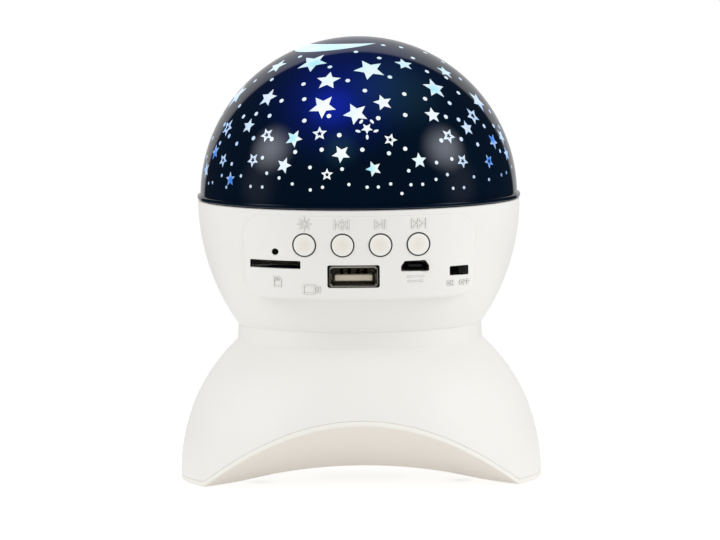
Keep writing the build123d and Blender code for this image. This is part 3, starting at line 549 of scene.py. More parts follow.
def black_nylon():
    """Glass-filled nylon: charcoal with a dull broken sheen."""
    return moulded("black_nylon", "#1f1f20", "#141415", roughness=0.48, grain=0.25, depth=0.012, IOR=1.53)


def brown_nylon():
    """Nylon push-switch plungers: dark brown and smooth."""
    return moulded("brown_nylon", "#4a3b2c", "#3a2d21", roughness=0.4, grain=0.4, depth=0.004, IOR=1.53)


def beige_nylon():
    """Undyed heat-proof nylon of a socket's tongue: pale beige, a little glossy."""
    return moulded("beige_nylon", "#d8cfbd", "#c7bda9", roughness=0.38, grain=0.5, depth=0.004, IOR=1.53)


def grey_rubber():
    """Die-cut rubber feet: dusty mid grey with no highlight."""
    return moulded("grey_rubber", "#8d8c89", "#777673", roughness=0.85, grain=0.35, depth=0.03, IOR=1.5)


def nickel_sheet():
    """Nickel-plated steel sheet of the sockets: mirror bright at its lips, with soft rolled lines."""
    return metal("nickel_sheet", "#c9c6bf", roughness=0.16, stretch=(0.4, 6.0, 0.4), depth=0.001)


def tarnished_contacts():
    """Worn plated spring contacts: dark bronze and smooth."""
    return metal("tarnished_contacts", "#5d564b", roughness=0.24, stretch=(6.0, 0.4, 6.0))


def zinc_screw():
    """Zinc-plated screws: pale grey with a slight cloudiness."""
    return metal("zinc_screw", "#a9abac", roughness=0.36, stretch=(3.0, 3.0, 0.6))


def drawn_motor_steel():
    """Deep-drawn motor can: bright with upright draw lines."""
    return metal("drawn_motor_steel", "#a3a4a6", roughness=0.32, stretch=(5.0, 5.0, 0.15))


def capsule_aluminium():
    """Pressed aluminium microphone can: pale and satin, with black felt over its front."""
    made = metal("capsule_aluminium", "#bcbdbf", roughness=0.34, stretch=(3.0, 0.3, 3.0))
    tree = made.node_tree
    parts = add(tree, "ShaderNodeSeparateXYZ", {0: object_place(tree)}).outputs
    felt_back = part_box("microphone")[0].y / MM + 0.2
    felt = add(tree, "ShaderNodeMath", {0: parts["Y"], 1: felt_back}, operation="LESS_THAN")
    shader = tint_part(made, felt, "#0b0b0c")
    bare = add(tree, "ShaderNodeMath", {0: 1.0, 1: felt}, operation="SUBTRACT")
    feed(tree, bare, shader.inputs["Metallic"])
    return made


def black_stove_paint():
    """Painted loudspeaker basket: black with a light orange peel."""
    return moulded("black_stove_paint", "#191919", "#121212", roughness=0.34, grain=1.4, depth=0.02, IOR=1.5)


def pulp_cone():
    """Pressed paper pulp: soft charcoal with visible fibres."""
    return moulded("pulp_cone", "#2a2927", "#191817", roughness=0.9, grain=0.5, depth=0.06, IOR=1.45)


def sintered_ferrite():
    """Ferrite magnet: dark grey, stony and slightly pitted."""
    return moulded("sintered_ferrite", "#3a3a3c", "#28282a", roughness=0.55, grain=0.6, depth=0.03, IOR=2.0)


def film_wrapped_cell():
    """Battery cell in shrink film: smooth blue with a soft sheen."""
    return moulded("film_wrapped_cell", "#2f5fa8", "#28528f", roughness=0.24, grain=2.5, depth=0.01, IOR=1.5)


def clear_epoxy():
    """Clear epoxy of the lamps: milky at the chip, sharp highlights on the crown."""
    return moulded("clear_epoxy", "#e7edf0", "#d5dde2", roughness=0.1, grain=2.0, depth=0.002, IOR=1.55,
                   **{"Transmission Weight": 0.55})


def solder_mask():
    """Circuit board: green solder mask over paler copper tracks, three quarters of a millimetre apart."""
    made, tree, place = surface_material("solder_mask")
    tracks = add(tree, "ShaderNodeTexBrick",
                 {"Vector": place, "Scale": 0.33, "Mortar Size": 0.05, "Color1": "#1c5c39",
                  "Color2": "#194f33", "Mortar": "#2f8a55"})
    grain = add(tree, "ShaderNodeTexNoise", {"Vector": place, "Scale": 3.0})
    rough = add(tree, "ShaderNodeMapRange", {"Value": grain, "To Min": 0.22, "To Max": 0.34})
    bump = add(tree, "ShaderNodeBump",
               {"Height": tracks.outputs["Fac"], "Strength": 1.0, "Distance": 0.035 * MM})
    add_shader(tree, {"Base Color": tracks, "IOR": 1.52, "Roughness": rough, "Normal": bump})
    return made


def on_dome(azimuth, elevation, radius, height):
    """Point of a sphere at an angle from the front towards +X, and an angle above its centre."""
    a = np.radians(azimuth)
    e = np.radians(elevation)
    return np.stack([radius * np.sin(a) * np.cos(e), -radius * np.cos(a) * np.cos(e),
                     height + radius * np.sin(e)], axis=-1)


def dome_middle():
    """The dome's centre height and outer radius."""
    size = bpy.context.scene.lamp_dome
    radius = DOME_HIGH.x - size.step
    return DOME_HIGH.z - radius, radius


# Glow of the lamps behind the dome, painted on its surface as emission: azimuth from the front and
# elevation in degrees, reach in millimetres, strength, and the name of the colour.
PAINTED_DOME_GLOWS = (
    (-11.5, 37.5, 11.0, 0.17, "glow"), (-10.5, 40.0, 25.0, 0.085, "glow"),
    (-10.0, 58.0, 40.0, 0.045, "glow"), (168.0, 45.0, 44.0, 0.12, "glow"),
    (20.0, 45.0, 20.0, 0.018, "haze"), (-7.0, 21.0, 8.0, 0.02, "haze"),
)


def dark_dome_plastic(colours):
    """Polished tinted styrene: near-black navy with sharp highlights, and the dim light of a blue and a
    green lamp behind it painted on as emission, brightest in a few places."""
    made, tree, place = surface_material("dark_dome_plastic")
    height, radius = (value / MM for value in dome_middle())
    clouds = add(tree, "ShaderNodeTexNoise", {"Vector": place, "Scale": 0.05, "Detail": 2.0})
    shaded = darker(colours.dome, 0.7)
    tint = add(tree, "ShaderNodeMix", {"Factor": clouds, "A": shaded, "B": colours.dome}, data_type="RGBA")
    # Painted glow: the light of the lamps behind is emission on the dome's own surface.
    light = (0.0, 0.0, 0.0)
    for azimuth, elevation, reach, strength, tone in PAINTED_DOME_GLOWS:
        near = fall_off(tree, place, on_dome(azimuth, elevation, radius, height), reach)
        own = darker(getattr(colours, tone), strength)
        light = add(tree, "ShaderNodeVectorMath", {0: near, 1: own, 2: light}, operation="MULTIPLY_ADD")
    ripple = add(tree, "ShaderNodeTexNoise", {"Vector": place, "Scale": 0.08})
    bump = add(tree, "ShaderNodeBump", {"Height": ripple, "Strength": 0.3, "Distance": 0.05 * MM})
    add_shader(tree, {"Base Color": tint, "Roughness": 0.06, "IOR": 1.59, "Specular Tint": "#eaefff",
                      "Emission Color": light, "Emission Strength": 1.0, "Normal": bump})
    return made


# Spots of another tone in the windows: azimuth from the front and elevation in degrees, and the name of
# the colour. Each reaches so many millimetres.
WINDOW_SPOTS = (
    (-53.5, 8.0, "window_azure"), (126.5, 8.0, "window_azure"), (64.0, 22.0, "window_azure"),
    (-116.0, 22.0, "window_azure"), (-69.8, 16.5, "window_azure"), (57.2, 14.2, "window_azure"),
    (3.8, 13.6, "window_turquoise"), (41.0, 44.0, "window_turquoise"), (-31.0, 59.0, "window_turquoise"),
    (-27.0, 24.7, "window_turquoise"),
)
SPOT_REACH = 3.2


def lit_window_plastic(colours):
    """Clear windows in the dome's coating, lit from inside: white in the middle, in patches of pale cyan
    higher up and of blue at the sides, with spots of azure and turquoise, and dimmer low at the sides."""
    made, tree, place = surface_material("lit_window_plastic")
    height, radius = (value / MM for value in dome_middle())
    parts = add(tree, "ShaderNodeSeparateXYZ", {0: place}).outputs
    aside = add(tree, "ShaderNodeMath", {0: parts["X"]}, operation="ABSOLUTE")
    side = add(tree, "ShaderNodeMapRange", {"Value": aside, "From Min": 18.0, "From Max": 44.0})
    low = add(tree, "ShaderNodeMapRange",
              {"Value": parts["Z"], "From Min": height + 13.0, "From Max": height + 5.0})
    high = add(tree, "ShaderNodeMapRange",
               {"Value": parts["Z"], "From Min": height + 31.0, "From Max": height + 46.0})
    patches = add(tree, "ShaderNodeTexNoise", {"Vector": place, "Scale": 0.16, "Detail": 1.0})
    shift = add(tree, "ShaderNodeMapRange", {"Value": patches, "To Min": -0.7, "To Max": 0.9})
    pale = add(tree, "ShaderNodeMath", {0: high, 1: shift}, use_clamp=True)
    fine = add(tree, "ShaderNodeTexNoise", {"Vector": place, "Scale": 0.7, "Detail": 2.0})
    broken = add(tree, "ShaderNodeMapRange", {"Value": fine, "To Min": -0.1, "To Max": 1.5})
    edge = add(tree, "ShaderNodeMath", {0: side, 1: broken}, operation="MULTIPLY", use_clamp=True)
    tones = [(pale, colours.window_cool), (edge, colours.window_blue)]
    for azimuth, elevation, name in WINDOW_SPOTS:
        near = fall_off(tree, place, on_dome(azimuth, elevation, radius, height), SPOT_REACH)
        tones.append((near, getattr(colours, name)))
    lit = colours.window
    for factor, tone in tones:
        lit = add(tree, "ShaderNodeMix", {"Factor": factor, "A": lit, "B": tone}, data_type="RGBA")
    dim = add(tree, "ShaderNodeMath", {0: side, 1: low}, operation="MULTIPLY")
    strength = add(tree, "ShaderNodeMapRange", {"Value": dim, "To Min": 1.0, "To Max": 0.75})
    add_shader(tree, {"Base Color": "#20262c", "Roughness": 0.2, "IOR": 1.59, "Emission Color": lit,
                      "Emission Strength": strength})
    return made


# ---- pieces of the housing ----
def middle_of(name):
    """The (x, z) middle and half sizes of a node's box."""
    low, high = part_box(name)
    return ((low.x + high.x) / 2, (low.z + high.z) / 2), (high.x - low.x) / 2, (high.z - low.z) / 2


def saddle(x, y, size, rise=0.0):
    """Height of the saddle: z = a + B - sqrt((A + B - sqrt((A + rise)^2 - x^2))^2 - y^2), the inner side
    of a ring with arch radius A and rise radius B over the lowest height a."""
    reach = size.arch_radius + size.rise_radius - np.sqrt((size.arch_radius + rise)**2 - x**2)
    return size.apex + size.rise_radius - np.sqrt(reach**2 - y**2)


def ball_reach(z, size, inset=0.0):
    """Radius of the base's side at a height: a ball above its centre, upright below it."""
    return np.sqrt((size.ball_radius - inset)**2 - np.maximum(z - size.ball_height, 0)**2)


def seam_height(angles, size, rise, floor, inset=0.0):
    """Height at which the base's side meets the saddle at each angle, by halving an interval."""
    low = np.full_like(angles, floor)
    high = np.full_like(angles, size.ball_radius / 2)
    for _ in range(40):
        middle = (low + high) / 2
        reach = ball_reach(middle, size, inset)
        above = saddle(reach * np.cos(angles), reach * np.sin(angles), size, rise) > middle
        low = np.where(above, middle, low)
        high = np.where(above, high, middle)
    return low


def bent_corner(first, corner, last, steps=4):
    """Columns of radii and heights along (1-t)^2 a + 2 t (1-t) corner + t^2 b, one row per angle."""
    t = np.linspace(0, 1, steps)
    return [tuple((1 - s)**2 * a + 2 * s * (1 - s) * c + s**2 * b
                  for a, c, b in zip(first, corner, last)) for s in t]


def from_columns(columns, angles):
    """A grid from columns of (radii, heights), each a number or one value per angle."""
    blank = np.zeros_like(angles)
    radii = np.stack([blank + r for r, _ in columns], axis=1)
    heights = np.stack([blank + z for _, z in columns], axis=1)
    return turn_grid(radii, heights, angles)


def neck_radius(size):
    """Radius of the bowl's side where it meets the collar."""
    drop = BOWL_HIGH.z - BOWL_LOW.z
    return size.rim_radius - size.side_radius + math.sqrt(size.side_radius**2 - drop**2)


def make_bowl(size, panel):
    """Bowl: an arc of the side radius, upright at the rim, with a wall inside it and a flat floor, carried
    round Z; the panel's window is carved out of its front."""
    rim, neck, wall = BOWL_HIGH.z, BOWL_LOW.z, size.bowl_wall
    center = (size.rim_radius - size.side_radius, rim)
    outer_radius, inner_radius = size.side_radius, size.side_radius - wall
    start = -math.asin((rim - neck - size.neck_round) / outer_radius)
    floor_angle = -math.asin((rim - neck - wall) / inner_radius)
    edge = neck_radius(size) - size.neck_round
    lip_center = (size.rim_radius - size.rim_round, rim - size.rim_round)
    profile = np.concatenate([
        [(size.wire_hole, neck), (edge * 0.5, neck), (edge, neck)],
        arc_points(center, outer_radius, start, -size.rim_round / outer_radius, 72),
        arc_points(lip_center, size.rim_round, 0, np.pi / 2, 5)[1:],
        arc_points(center, inner_radius, 0, floor_angle, 40),
        [(edge * 0.5, neck + wall), (size.wire_hole, neck + wall)],
    ])
    bowl = solid("bowl_shell", turned(profile, 320, closed=True))
    (_, middle), half_x, half_z = middle_of("control_panel")
    window = rounded_outline(half_x, half_z, panel.corner, grow=panel.seam)
    front, back = -1.3 * size.rim_radius, -0.4 * size.rim_radius
    carve(bowl, straight_tool(window, middle, front, back))
    return bowl


def straight_tool(outline, height, front, back):
    """Closed prism along Y with an (x, z) outline about a height."""
    center = outline.mean(axis=0)
    columns = []
    for y, share in ((front, 0.0), (front, 1.0), (back, 1.0), (back, 0.0)):
        x, z = (center + (outline - center) * share).T
        columns.append(np.stack([x, np.full_like(x, y), height + z], axis=1))
    return grid_surface(np.stack(columns, axis=1), True)


def make_base(size):
    """Base: the collar and the ball outside, the wall inside, and between them the edge that rests on the
    saddle, at a height solved for each angle round Z."""
    angles = around(360)
    neck = BOWL_LOW.z
    top = neck_radius(size)
    foot = top + size.collar_taper
    collar_z = neck - size.collar_height
    slab = size.foot_plane + size.cover_wall
    soft = size.seam_round
    seam = seam_height(angles, size, size.cover_wall, slab)
    inner_seam = seam_height(angles, size, size.cover_wall, slab, size.base_wall)
    straight = top - size.collar_wall
    turn_z = size.ball_height + math.sqrt((size.ball_radius - size.base_wall)**2 - straight**2)
    columns = [(size.wire_hole, neck), (top * 0.5, neck), (top - size.neck_round, neck)]
    columns += [(top, neck - size.neck_round), (foot, collar_z)]
    low = seam + soft
    for t in np.linspace(0, 1, 60)[1:-1]:
        z = collar_z + (low - collar_z) * t
        columns.append((ball_reach(z, size), z))
    edge = ball_reach(seam, size)
    columns += bent_corner((ball_reach(low, size), low), (edge, seam), (edge - soft, seam))
    columns.append((ball_reach(inner_seam, size, size.base_wall), inner_seam))
    for t in np.linspace(0, 1, 26)[1:]:
        z = inner_seam + (turn_z - inner_seam) * t
        columns.append((ball_reach(z, size, size.base_wall), z))
    columns += [(reach, neck - size.web) for reach in (straight, straight * 0.5, size.wire_hole)]
    return solid("base_ball", grid_surface(from_columns(columns, angles), True, True))


def soft_floor(height, floor, softness):
    """The larger of a height and a floor, rounded where they cross: (h + f + sqrt((h - f)^2 + w^2)) / 2."""
    return (height + floor + np.sqrt((height - floor)**2 + softness**2)) / 2


def make_bottom_cover(size):
    """Cover: the saddle below, the same saddle raised by the wall above, and the ball's side between."""
    angles = around(480)
    cos, sin = np.cos(angles), np.sin(angles)
    slab = size.foot_plane + size.cover_wall
    soft = size.seam_round
    high = seam_height(angles, size, size.cover_wall, slab)
    low = seam_height(angles, size, 0.0, size.foot_plane)
    edge = ball_reach(low, size)

    def under(reach):
        """The saddle, flat at the feet's plane, less c/2 exp(-|h - f| / c), which deepens the crease."""
        height = saddle(reach * cos, reach * sin, size)
        crease = size.crease_round / 2 * np.exp(-np.abs(height - size.foot_plane) / size.crease_round)
        return reach, soft_floor(height, size.foot_plane, size.crease_round) - crease

    def over(reach):
        """The raised saddle, flat over the feet."""
        return reach, np.maximum(saddle(reach * cos, reach * sin, size, size.cover_wall), slab)

    columns = [under(t * (edge - soft)) for t in np.linspace(0, 1, 88)]
    rise = low + soft
    columns += bent_corner(columns[-1], (edge, low), (ball_reach(rise, size), rise))[1:]
    top = high - soft
    top_edge = ball_reach(high, size)
    columns += bent_corner((ball_reach(top, size), top), (top_edge, high), (top_edge - soft, high))
    columns += [over(t * (top_edge - soft)) for t in np.linspace(1, 0, 26)[1:]]
    return solid("bottom_cover_shell", grid_surface(from_columns(columns, angles), True))


def at_places(grid, places):
    """Copies of a grid of points, shifted to several (x, y) places."""
    return grid[None] + np.array([(x, y, 0) for x, y in places])[:, None, None]


def upright_tool(radius, low, high, places, count, size=None):
    """Closed upright cylinders at several (x, y) places. With the shell's sizes given, each starts from
    the middle of the cover's wall, whatever its slope."""
    ring = turn_grid(np.array([0, radius, radius, 0]), np.array([low, low, high, high]), around(count))
    points = at_places(ring, places)
    if size:
        foot = points[:, :, :2]
        wall = saddle(foot[..., 0], foot[..., 1], size, size.cover_wall / 2)
        foot[..., 2] = np.maximum(wall, low)
    return many_surfaces(points, True)


def four_places(x, y):
    """The places (+-x, +-y)."""
    return [(sx * x, sy * y) for sx in (-1, 1) for sy in (-1, 1)]


def foot_places():
    """Middles of the rubber feet."""
    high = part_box("rubber_feet")[1]
    return four_places(high.x - FOOT_RADIUS, high.y - FOOT_RADIUS)


def screw_places():
    """Middles of the screws under the cover."""
    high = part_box("base_screws")[1]
    return four_places(high.x - SCREW_HEAD_RADIUS, high.y - SCREW_HEAD_RADIUS)


def grille_places(spacing, rings=3, holes_per_ring=6):
    """One place in the middle and rings of six, twelve and eighteen."""
    places = [(0.0, 0.0)]
    for number in range(1, rings + 1):
        turn = around(holes_per_ring * number)
        places += list(zip(spacing * number * np.cos(turn), spacing * number * np.sin(turn)))
    return places


def carve_cover(cover, size):
    """Screw bosses, screw recesses, foot recesses and the loudspeaker's grille."""
    below = -2 * MM
    fit, gap = 0.02 * MM, 0.3 * MM
    middle = size.foot_plane + size.cover_wall / 2
    foot_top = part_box("rubber_feet")[1].z
    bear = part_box("base_screws")[0].z + SCREW_HEAD_HEIGHT
    bosses = upright_tool(SCREW_BOSS_RADIUS, middle, SCREW_BOSS_TOP, screw_places(), 48, size)
    carve(cover, bosses, "UNION")
    carve(cover, together(
        upright_tool(FOOT_RADIUS + fit, below, foot_top, foot_places(), 48),
        upright_tool(SCREW_HEAD_RADIUS + gap, below, bear, screw_places(), 40),
        upright_tool(GRILLE_HOLE_RADIUS, below, 2 * SCREW_BOSS_TOP, grille_places(GRILLE_SPACING), 24),
    ))


# ---- control panel ----
def on_face(outline, height, radius):
    """Points of an (x, z) outline about a height, on an upright cylinder's front."""
    return np.stack([outline[:, 0], face_y(outline[:, 0], radius), height + outline[:, 1]], axis=1)


def make_panel(size, shell):
    """Panel: a rounded rectangle on the rim's cylinder, from its middle out over the rounded edge, back
    along its side to the bowl's inner wall, and forward again inside its own wall. The edge is rounded
    as far as the panel stands proud of the bowl there, so that it fades out towards the rim."""
    (_, middle), half_x, half_z = middle_of("control_panel")
    radius = shell.rim_radius

    def outline(inset):
        """The panel's edge, drawn in."""
        return rounded_outline(half_x, half_z, size.corner, grow=-inset, across=46, up=16, bend=12)

    def reach(loop, arc):
        """Radius of the bowl's side at the height of each point, for the arc of one of its walls."""
        drop = BOWL_HIGH.z - (middle + loop[:, 1])
        return radius - shell.side_radius + np.sqrt(arc**2 - drop**2)

    def back(loop):
        """A loop's points on the bowl's inner wall."""
        far = face_y(loop[:, 0], reach(loop, shell.side_radius - shell.bowl_wall))
        return np.stack([loop[:, 0], far, middle + loop[:, 1]], axis=1)

    outside = outline(0.0)
    proud = radius - reach(outside, shell.side_radius)
    share = np.clip(0.9 * proud / size.edge_round, 0.01, 1.0)
    towards = (outline(size.edge_round) - outside) * share[:, None]
    columns = [on_face((outside + towards) * s, middle, radius) for s in np.linspace(0, 1, 26)]
    for turn in np.linspace(0, np.pi / 2, 8)[1:]:
        loop = outside + towards * (1 - math.sin(turn))
        columns.append(on_face(loop, middle, radius - size.edge_round * share * (1 - math.cos(turn))))
    inside = outline(size.wall)
    columns.append((columns[-1] + back(outside)) / 2)
    columns += [back(outside), back(inside)]
    columns += [on_face(inside * s, middle, radius - size.wall) for s in np.linspace(1, 0, 22)]
    return solid("panel_shell", grid_surface(np.stack(columns, axis=1), True))


def hole_tool(outline_of, center, radius, chamfer, back):
    """Closed cutter for a hole through the panel: wide in front, narrowing at 45 degrees through the face
    to its own outline, then straight back."""
    loops = []
    for inset, grow in ((-4 * chamfer, 5 * chamfer), (chamfer, 0.0)):
        loop = outline_of(grow)
        x = center[0] + loop[:, 0]
        loops.append(np.stack([x, face_y(x, radius - inset), center[1] + loop[:, 1]], axis=1))
    rear = loops[-1].copy()
    rear[:, 1] = back
    front = loops[0].copy()
    front[:, 1] = -1.2 * radius
    loops = [front] + loops + [rear]
    caps = [np.broadcast_to(loop.mean(axis=0), loop.shape) for loop in (front, rear)]
    return grid_surface(np.stack([caps[0]] + loops + [caps[1]], axis=1), True)


def circle_outline(radius, count):
    """Outline function of a circle that grows."""
    angles = around(count)
    return lambda grow: (radius + grow) * np.stack([np.cos(angles), np.sin(angles)], axis=1)


def box_outline(half_width, half_height, corner):
    """Outline function of a rounded rectangle that grows."""
    return lambda grow: rounded_outline(half_width, half_height, corner, grow, across=10, up=5, bend=6)


def shoulder_outline(half_width, half_top, half_height, softness):
    """Outline function of a socket that is wide below and narrower above, with sloping shoulders."""
    corners = [(-half_width, -half_height), (half_width, -half_height), (half_width, 0.0),
               (half_top, half_height), (-half_top, half_height), (-half_width, 0.0)]

    def outline(grow):
        stretch = 1 + grow / np.array([half_width, half_height])
        return rounded_profile(np.array(corners) * stretch, softness)
    return outline


def wide_socket_middle(size):
    """The (x, z) middle and half sizes of the wide socket's shell without its turned lips: as high as its
    tongue and the sheet on both sides."""
    (x, _), half_x, _ = middle_of("usb_shell")
    half_z = middle_of("usb_tongue")[2] + size.sheet
    return (x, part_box("usb_shell")[0].z + half_z), half_x, half_z


def carve_panel(panel_piece, size, shell):
    """Holes for the buttons, the sockets, the slide knob and the microphone."""
    narrow_corner, card_corner, knob_corner = 0.35 * MM, 0.25 * MM, 0.3 * MM
    radius = shell.rim_radius
    back = -0.62 * radius
    round_hole = circle_outline(size.button_radius + size.button_gap, 64)
    holes = [(middle_of(name)[0], round_hole) for name in BUTTONS]
    center, half_x, half_z = wide_socket_middle(size)
    half_x, half_z = half_x + size.usb_cut_gap, half_z + size.usb_cut_rise
    holes.append((center, box_outline(half_x, half_z, size.usb_corner / 2)))
    center, half_x, half_z = middle_of("micro_usb_shell")
    half_x, half_z = half_x + size.fit, half_z + size.fit
    holes.append((center, shoulder_outline(half_x, half_x - NARROW_SHOULDER, half_z, narrow_corner)))
    center, half_x, half_z = middle_of("card_socket")
    holes.append((center, box_outline(half_x + size.card_gap, half_z + size.card_gap / 2, card_corner)))
    (x, z), half_x, half_z = middle_of("power_knob")
    half_x, half_z = half_x + size.knob_travel / 2 + size.knob_gap, half_z + size.knob_gap
    holes.append(((x - size.knob_travel / 2, z), box_outline(half_x, half_z, knob_corner)))
    x, z = middle_of("microphone")[0][0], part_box("control_board")[1].z + PINHOLE_LIFT
    holes.append(((x, z), circle_outline(size.pinhole_radius, 32)))
    tools = [hole_tool(outline, center, radius, size.hole_chamfer, back) for center, outline in holes]
    carve(panel_piece, together(*tools))


def make_button(name, size, shell):
    """Button: rings about its own axis, each on a cylinder set in from the button's face, so that the
    face follows the panel; then the flange, and the stem with a flat end."""
    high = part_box(name)[1]
    center, flange_radius, _ = middle_of(name)
    face = shell.rim_radius + size.button_proud
    radius, soft = size.button_radius, size.button_round
    flange_front = shell.rim_radius - size.wall - size.flange_gap
    flange_back = flange_front - size.flange_wall
    rings = [(share * (radius - soft), face) for share in np.linspace(0, 1, 9)]
    rings += [(radius - soft + soft * math.sin(t), face - soft * (1 - math.cos(t)))
              for t in np.linspace(0, np.pi / 2, 8)[1:]]
    rings += [(radius, flange_front), (flange_radius, flange_front), (flange_radius, flange_back),
              (size.stem_radius, flange_back)]
    angles = around(64)
    columns = []
    for reach, cylinder in rings:
        x = center[0] + reach * np.cos(angles)
        columns.append(np.stack([x, face_y(x, cylinder), center[1] + reach * np.sin(angles)], axis=1))
    for reach in (size.stem_radius, 0.0):
        x = center[0] + reach * np.cos(angles)
        columns.append(np.stack([x, np.full_like(x, high.y), center[1] + reach * np.sin(angles)], axis=1))
    return solid(name + "_cap", grid_surface(np.stack(columns, axis=1), True))


def make_usb_shell(size):
    """Socket shell: a rounded outline carried forward, turned out into lips, and, set in by the sheet,
    carried back again."""
    low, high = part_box("usb_shell")
    (x, z), half_x, half_z = wide_socket_middle(size)
    depth, half_lip = high.y - low.y, size.lip / 2
    rings = [(0.0, depth, 0.0), (0.0, size.flare_depth, 0.0)]
    rings += [(half_lip * (1 - math.cos(t)), half_lip * (1 - math.sin(t)), 1.0)
              for t in np.linspace(0, np.pi, 9)]
    rings += [(size.sheet, size.flare_depth, 0.0), (size.sheet, depth, 0.0)]
    columns = []
    for inset, back, flare in rings:
        loop = rounded_outline(half_x + flare * size.flare_side, half_z + flare * size.flare_rise,
                               size.usb_corner, grow=-inset, across=10, up=5, bend=9)
        columns.append(np.stack([x + loop[:, 0], np.full(len(loop), low.y + back), z + loop[:, 1]], axis=1))
    return grid_surface(np.stack(columns, axis=1), True, True)


def rounded_block(low, high, soft, steps=4):
    """Block with rounded edges: one rounded rectangle in XZ, carried from front to back and drawn in at
    both ends along a quarter circle."""
    low, high = np.array(low), np.array(high)
    half = ((high - low) / 2)[[0, 2]]
    middle = ((high + low) / 2)[[0, 2]]
    depth = high[1] - low[1]
    rings = [(half.max(), 0.0)]
    rings += [(soft * (1 - math.sin(t)), soft * (1 - math.cos(t))) for t in np.linspace(0, np.pi / 2, steps)]
    rings += [(inset, depth - back) for inset, back in reversed(rings)]
    outline = rounded_outline(*half, soft, across=6, up=6, bend=5)
    columns = []
    for inset, back in rings:
        x, z = (middle + outline * np.maximum(1 - inset / half, 0)).T
        columns.append(np.stack([x, np.full_like(x, low[1] + back), z], axis=1))
    return grid_surface(np.stack(columns, axis=1), True)


def capped_bar(sections):
    """Closed bar through sections of points, (sections, corners, 3), with a flat cap at each end."""
    caps = [np.broadcast_to(sections[i].mean(axis=0), (1, *sections.shape[1:])) for i in (0, -1)]
    return grid_surface(np.concatenate([caps[0], sections, caps[1]]), False, True)


def make_usb_tongue():
    """Tongue and back wall of the wide socket, both with rounded edges."""
    low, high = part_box("usb_tongue")
    wall, tongue_round, wall_round = 2.5 * MM, 0.4 * MM, 0.1 * MM
    x, half = (low.x + high.x) / 2, TONGUE_WIDTH / 2
    under = low.z + TONGUE_LIFT
    tongue = rounded_block((x - half, low.y, under), (x + half, high.y - wall / 2, under + TONGUE_THICKNESS),
                           tongue_round)
    return together(tongue, rounded_block((low.x, high.y - wall, low.z), high, wall_round))


def make_usb_contacts(size):
    """Four spring contacts along the top of the tongue: each rises from it as a (1 - cos 2 pi s) / 2 bow."""
    low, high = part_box("usb_tongue")
    middle = (low.x + high.x) / 2
    start, run = 2.2 * MM, 7.0 * MM
    half_section = np.array([(0.5, -0.1), (0.5, 0.08), (0.4, 0.13)]) * MM
    section = np.concatenate([half_section[:1] * (-1, 1), half_section, half_section[:0:-1] * (-1, 1)])
    s = np.linspace(0, 1, 22)[:, None]
    y = low.y + start + run * s
    bow = size.contact_bow * (1 - np.cos(2 * np.pi * s)) / 2
    z = low.z + TONGUE_LIFT + TONGUE_THICKNESS + bow + section[:, 1]
    places = [middle + offset * MM + section[:, 0] for offset in (-3.5, -1.25, 1.25, 3.5)]
    return together(*(capped_bar(np.stack(np.broadcast_arrays(x, y, z), axis=2)) for x in places))


def make_knob():
    """Slide knob: a rounded block, with three upright ribs flush with its front."""
    low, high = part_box("power_knob")
    half_rib, rib_depth, rib_round, inset = 0.22 * MM, 0.6 * MM, 0.12 * MM, 0.15 * MM
    blocks = [rounded_block(low, high, half_rib, steps=6)]
    for share in (0.26, 0.5, 0.74):
        x = low.x + (high.x - low.x) * share
        blocks.append(rounded_block((x - half_rib, low.y, low.z + inset),
                                    (x + half_rib, low.y + rib_depth, high.z - inset), rib_round))
    return together(*blocks)


# ---- raised labels ----
def strokes_of(*lines):
    """Pairs of points along several open lines."""
    pairs = [(a, b) for line in lines for a, b in zip(line, line[1:])]
    return np.array(pairs, float)


def ring_line(center, half_width, half_height, steps=12):
    """A closed round line."""
    t = np.linspace(0, 2 * np.pi, steps + 1)
    return np.stack([center[0] + half_width * np.cos(t), center[1] + half_height * np.sin(t)], axis=1)


def lamp_sign():
    """A sun: a ring with eight short rays."""
    t = around(8)
    rays = [[(0.62 * math.cos(a), 0.62 * math.sin(a)), (1.0 * math.cos(a), 1.0 * math.sin(a))] for a in t]
    return strokes_of(ring_line((0, 0), 0.36, 0.36), *rays)


def skip_sign(side):
    """Two triangles and a bar, pointing to one side."""
    first = [(-1.0 * side, 0.7), (-0.1 * side, 0.0), (-1.0 * side, -0.7), (-1.0 * side, 0.7)]
    second = [(-0.05 * side, 0.7), (0.85 * side, 0.0), (-0.05 * side, -0.7), (-0.05 * side, 0.7)]
    bar = [(1.15 * side, 0.7), (1.15 * side, -0.7)]
    return strokes_of(first, second, bar)


def play_sign():
    """A triangle and two bars."""
    triangle = [(-1.0, 0.8), (0.1, 0.0), (-1.0, -0.8), (-1.0, 0.8)]
    return strokes_of(triangle, [(0.5, 0.8), (0.5, -0.8)], [(1.0, 0.8), (1.0, -0.8)])


def card_sign():
    """A memory card seen flat, with a cut corner and three contacts."""
    card = [(-0.8, -1.0), (0.8, -1.0), (0.8, 0.5), (0.35, 1.0), (-0.8, 1.0), (-0.8, -1.0)]
    contacts = [[(x, 0.75), (x, 0.35)] for x in (-0.5, -0.15, 0.2)]
    return strokes_of(card, *contacts)


def stick_sign():
    """A memory stick lying flat: its body, its plug and two contacts."""
    body = [(-1.0, -0.5), (0.35, -0.5), (0.35, 0.5), (-1.0, 0.5), (-1.0, -0.5)]
    plug = [(0.35, -0.3), (1.0, -0.3), (1.0, 0.3), (0.35, 0.3)]
    return strokes_of(body, plug, [(0.62, 0.14), (0.74, 0.14)], [(0.62, -0.14), (0.74, -0.14)])


def direct_current_sign():
    """A long line over three dashes."""
    dashes = [[(x - 0.22, -0.3), (x + 0.22, -0.3)] for x in (-0.75, 0.0, 0.75)]
    return strokes_of([(-1.0, 0.3), (1.0, 0.3)], *dashes)


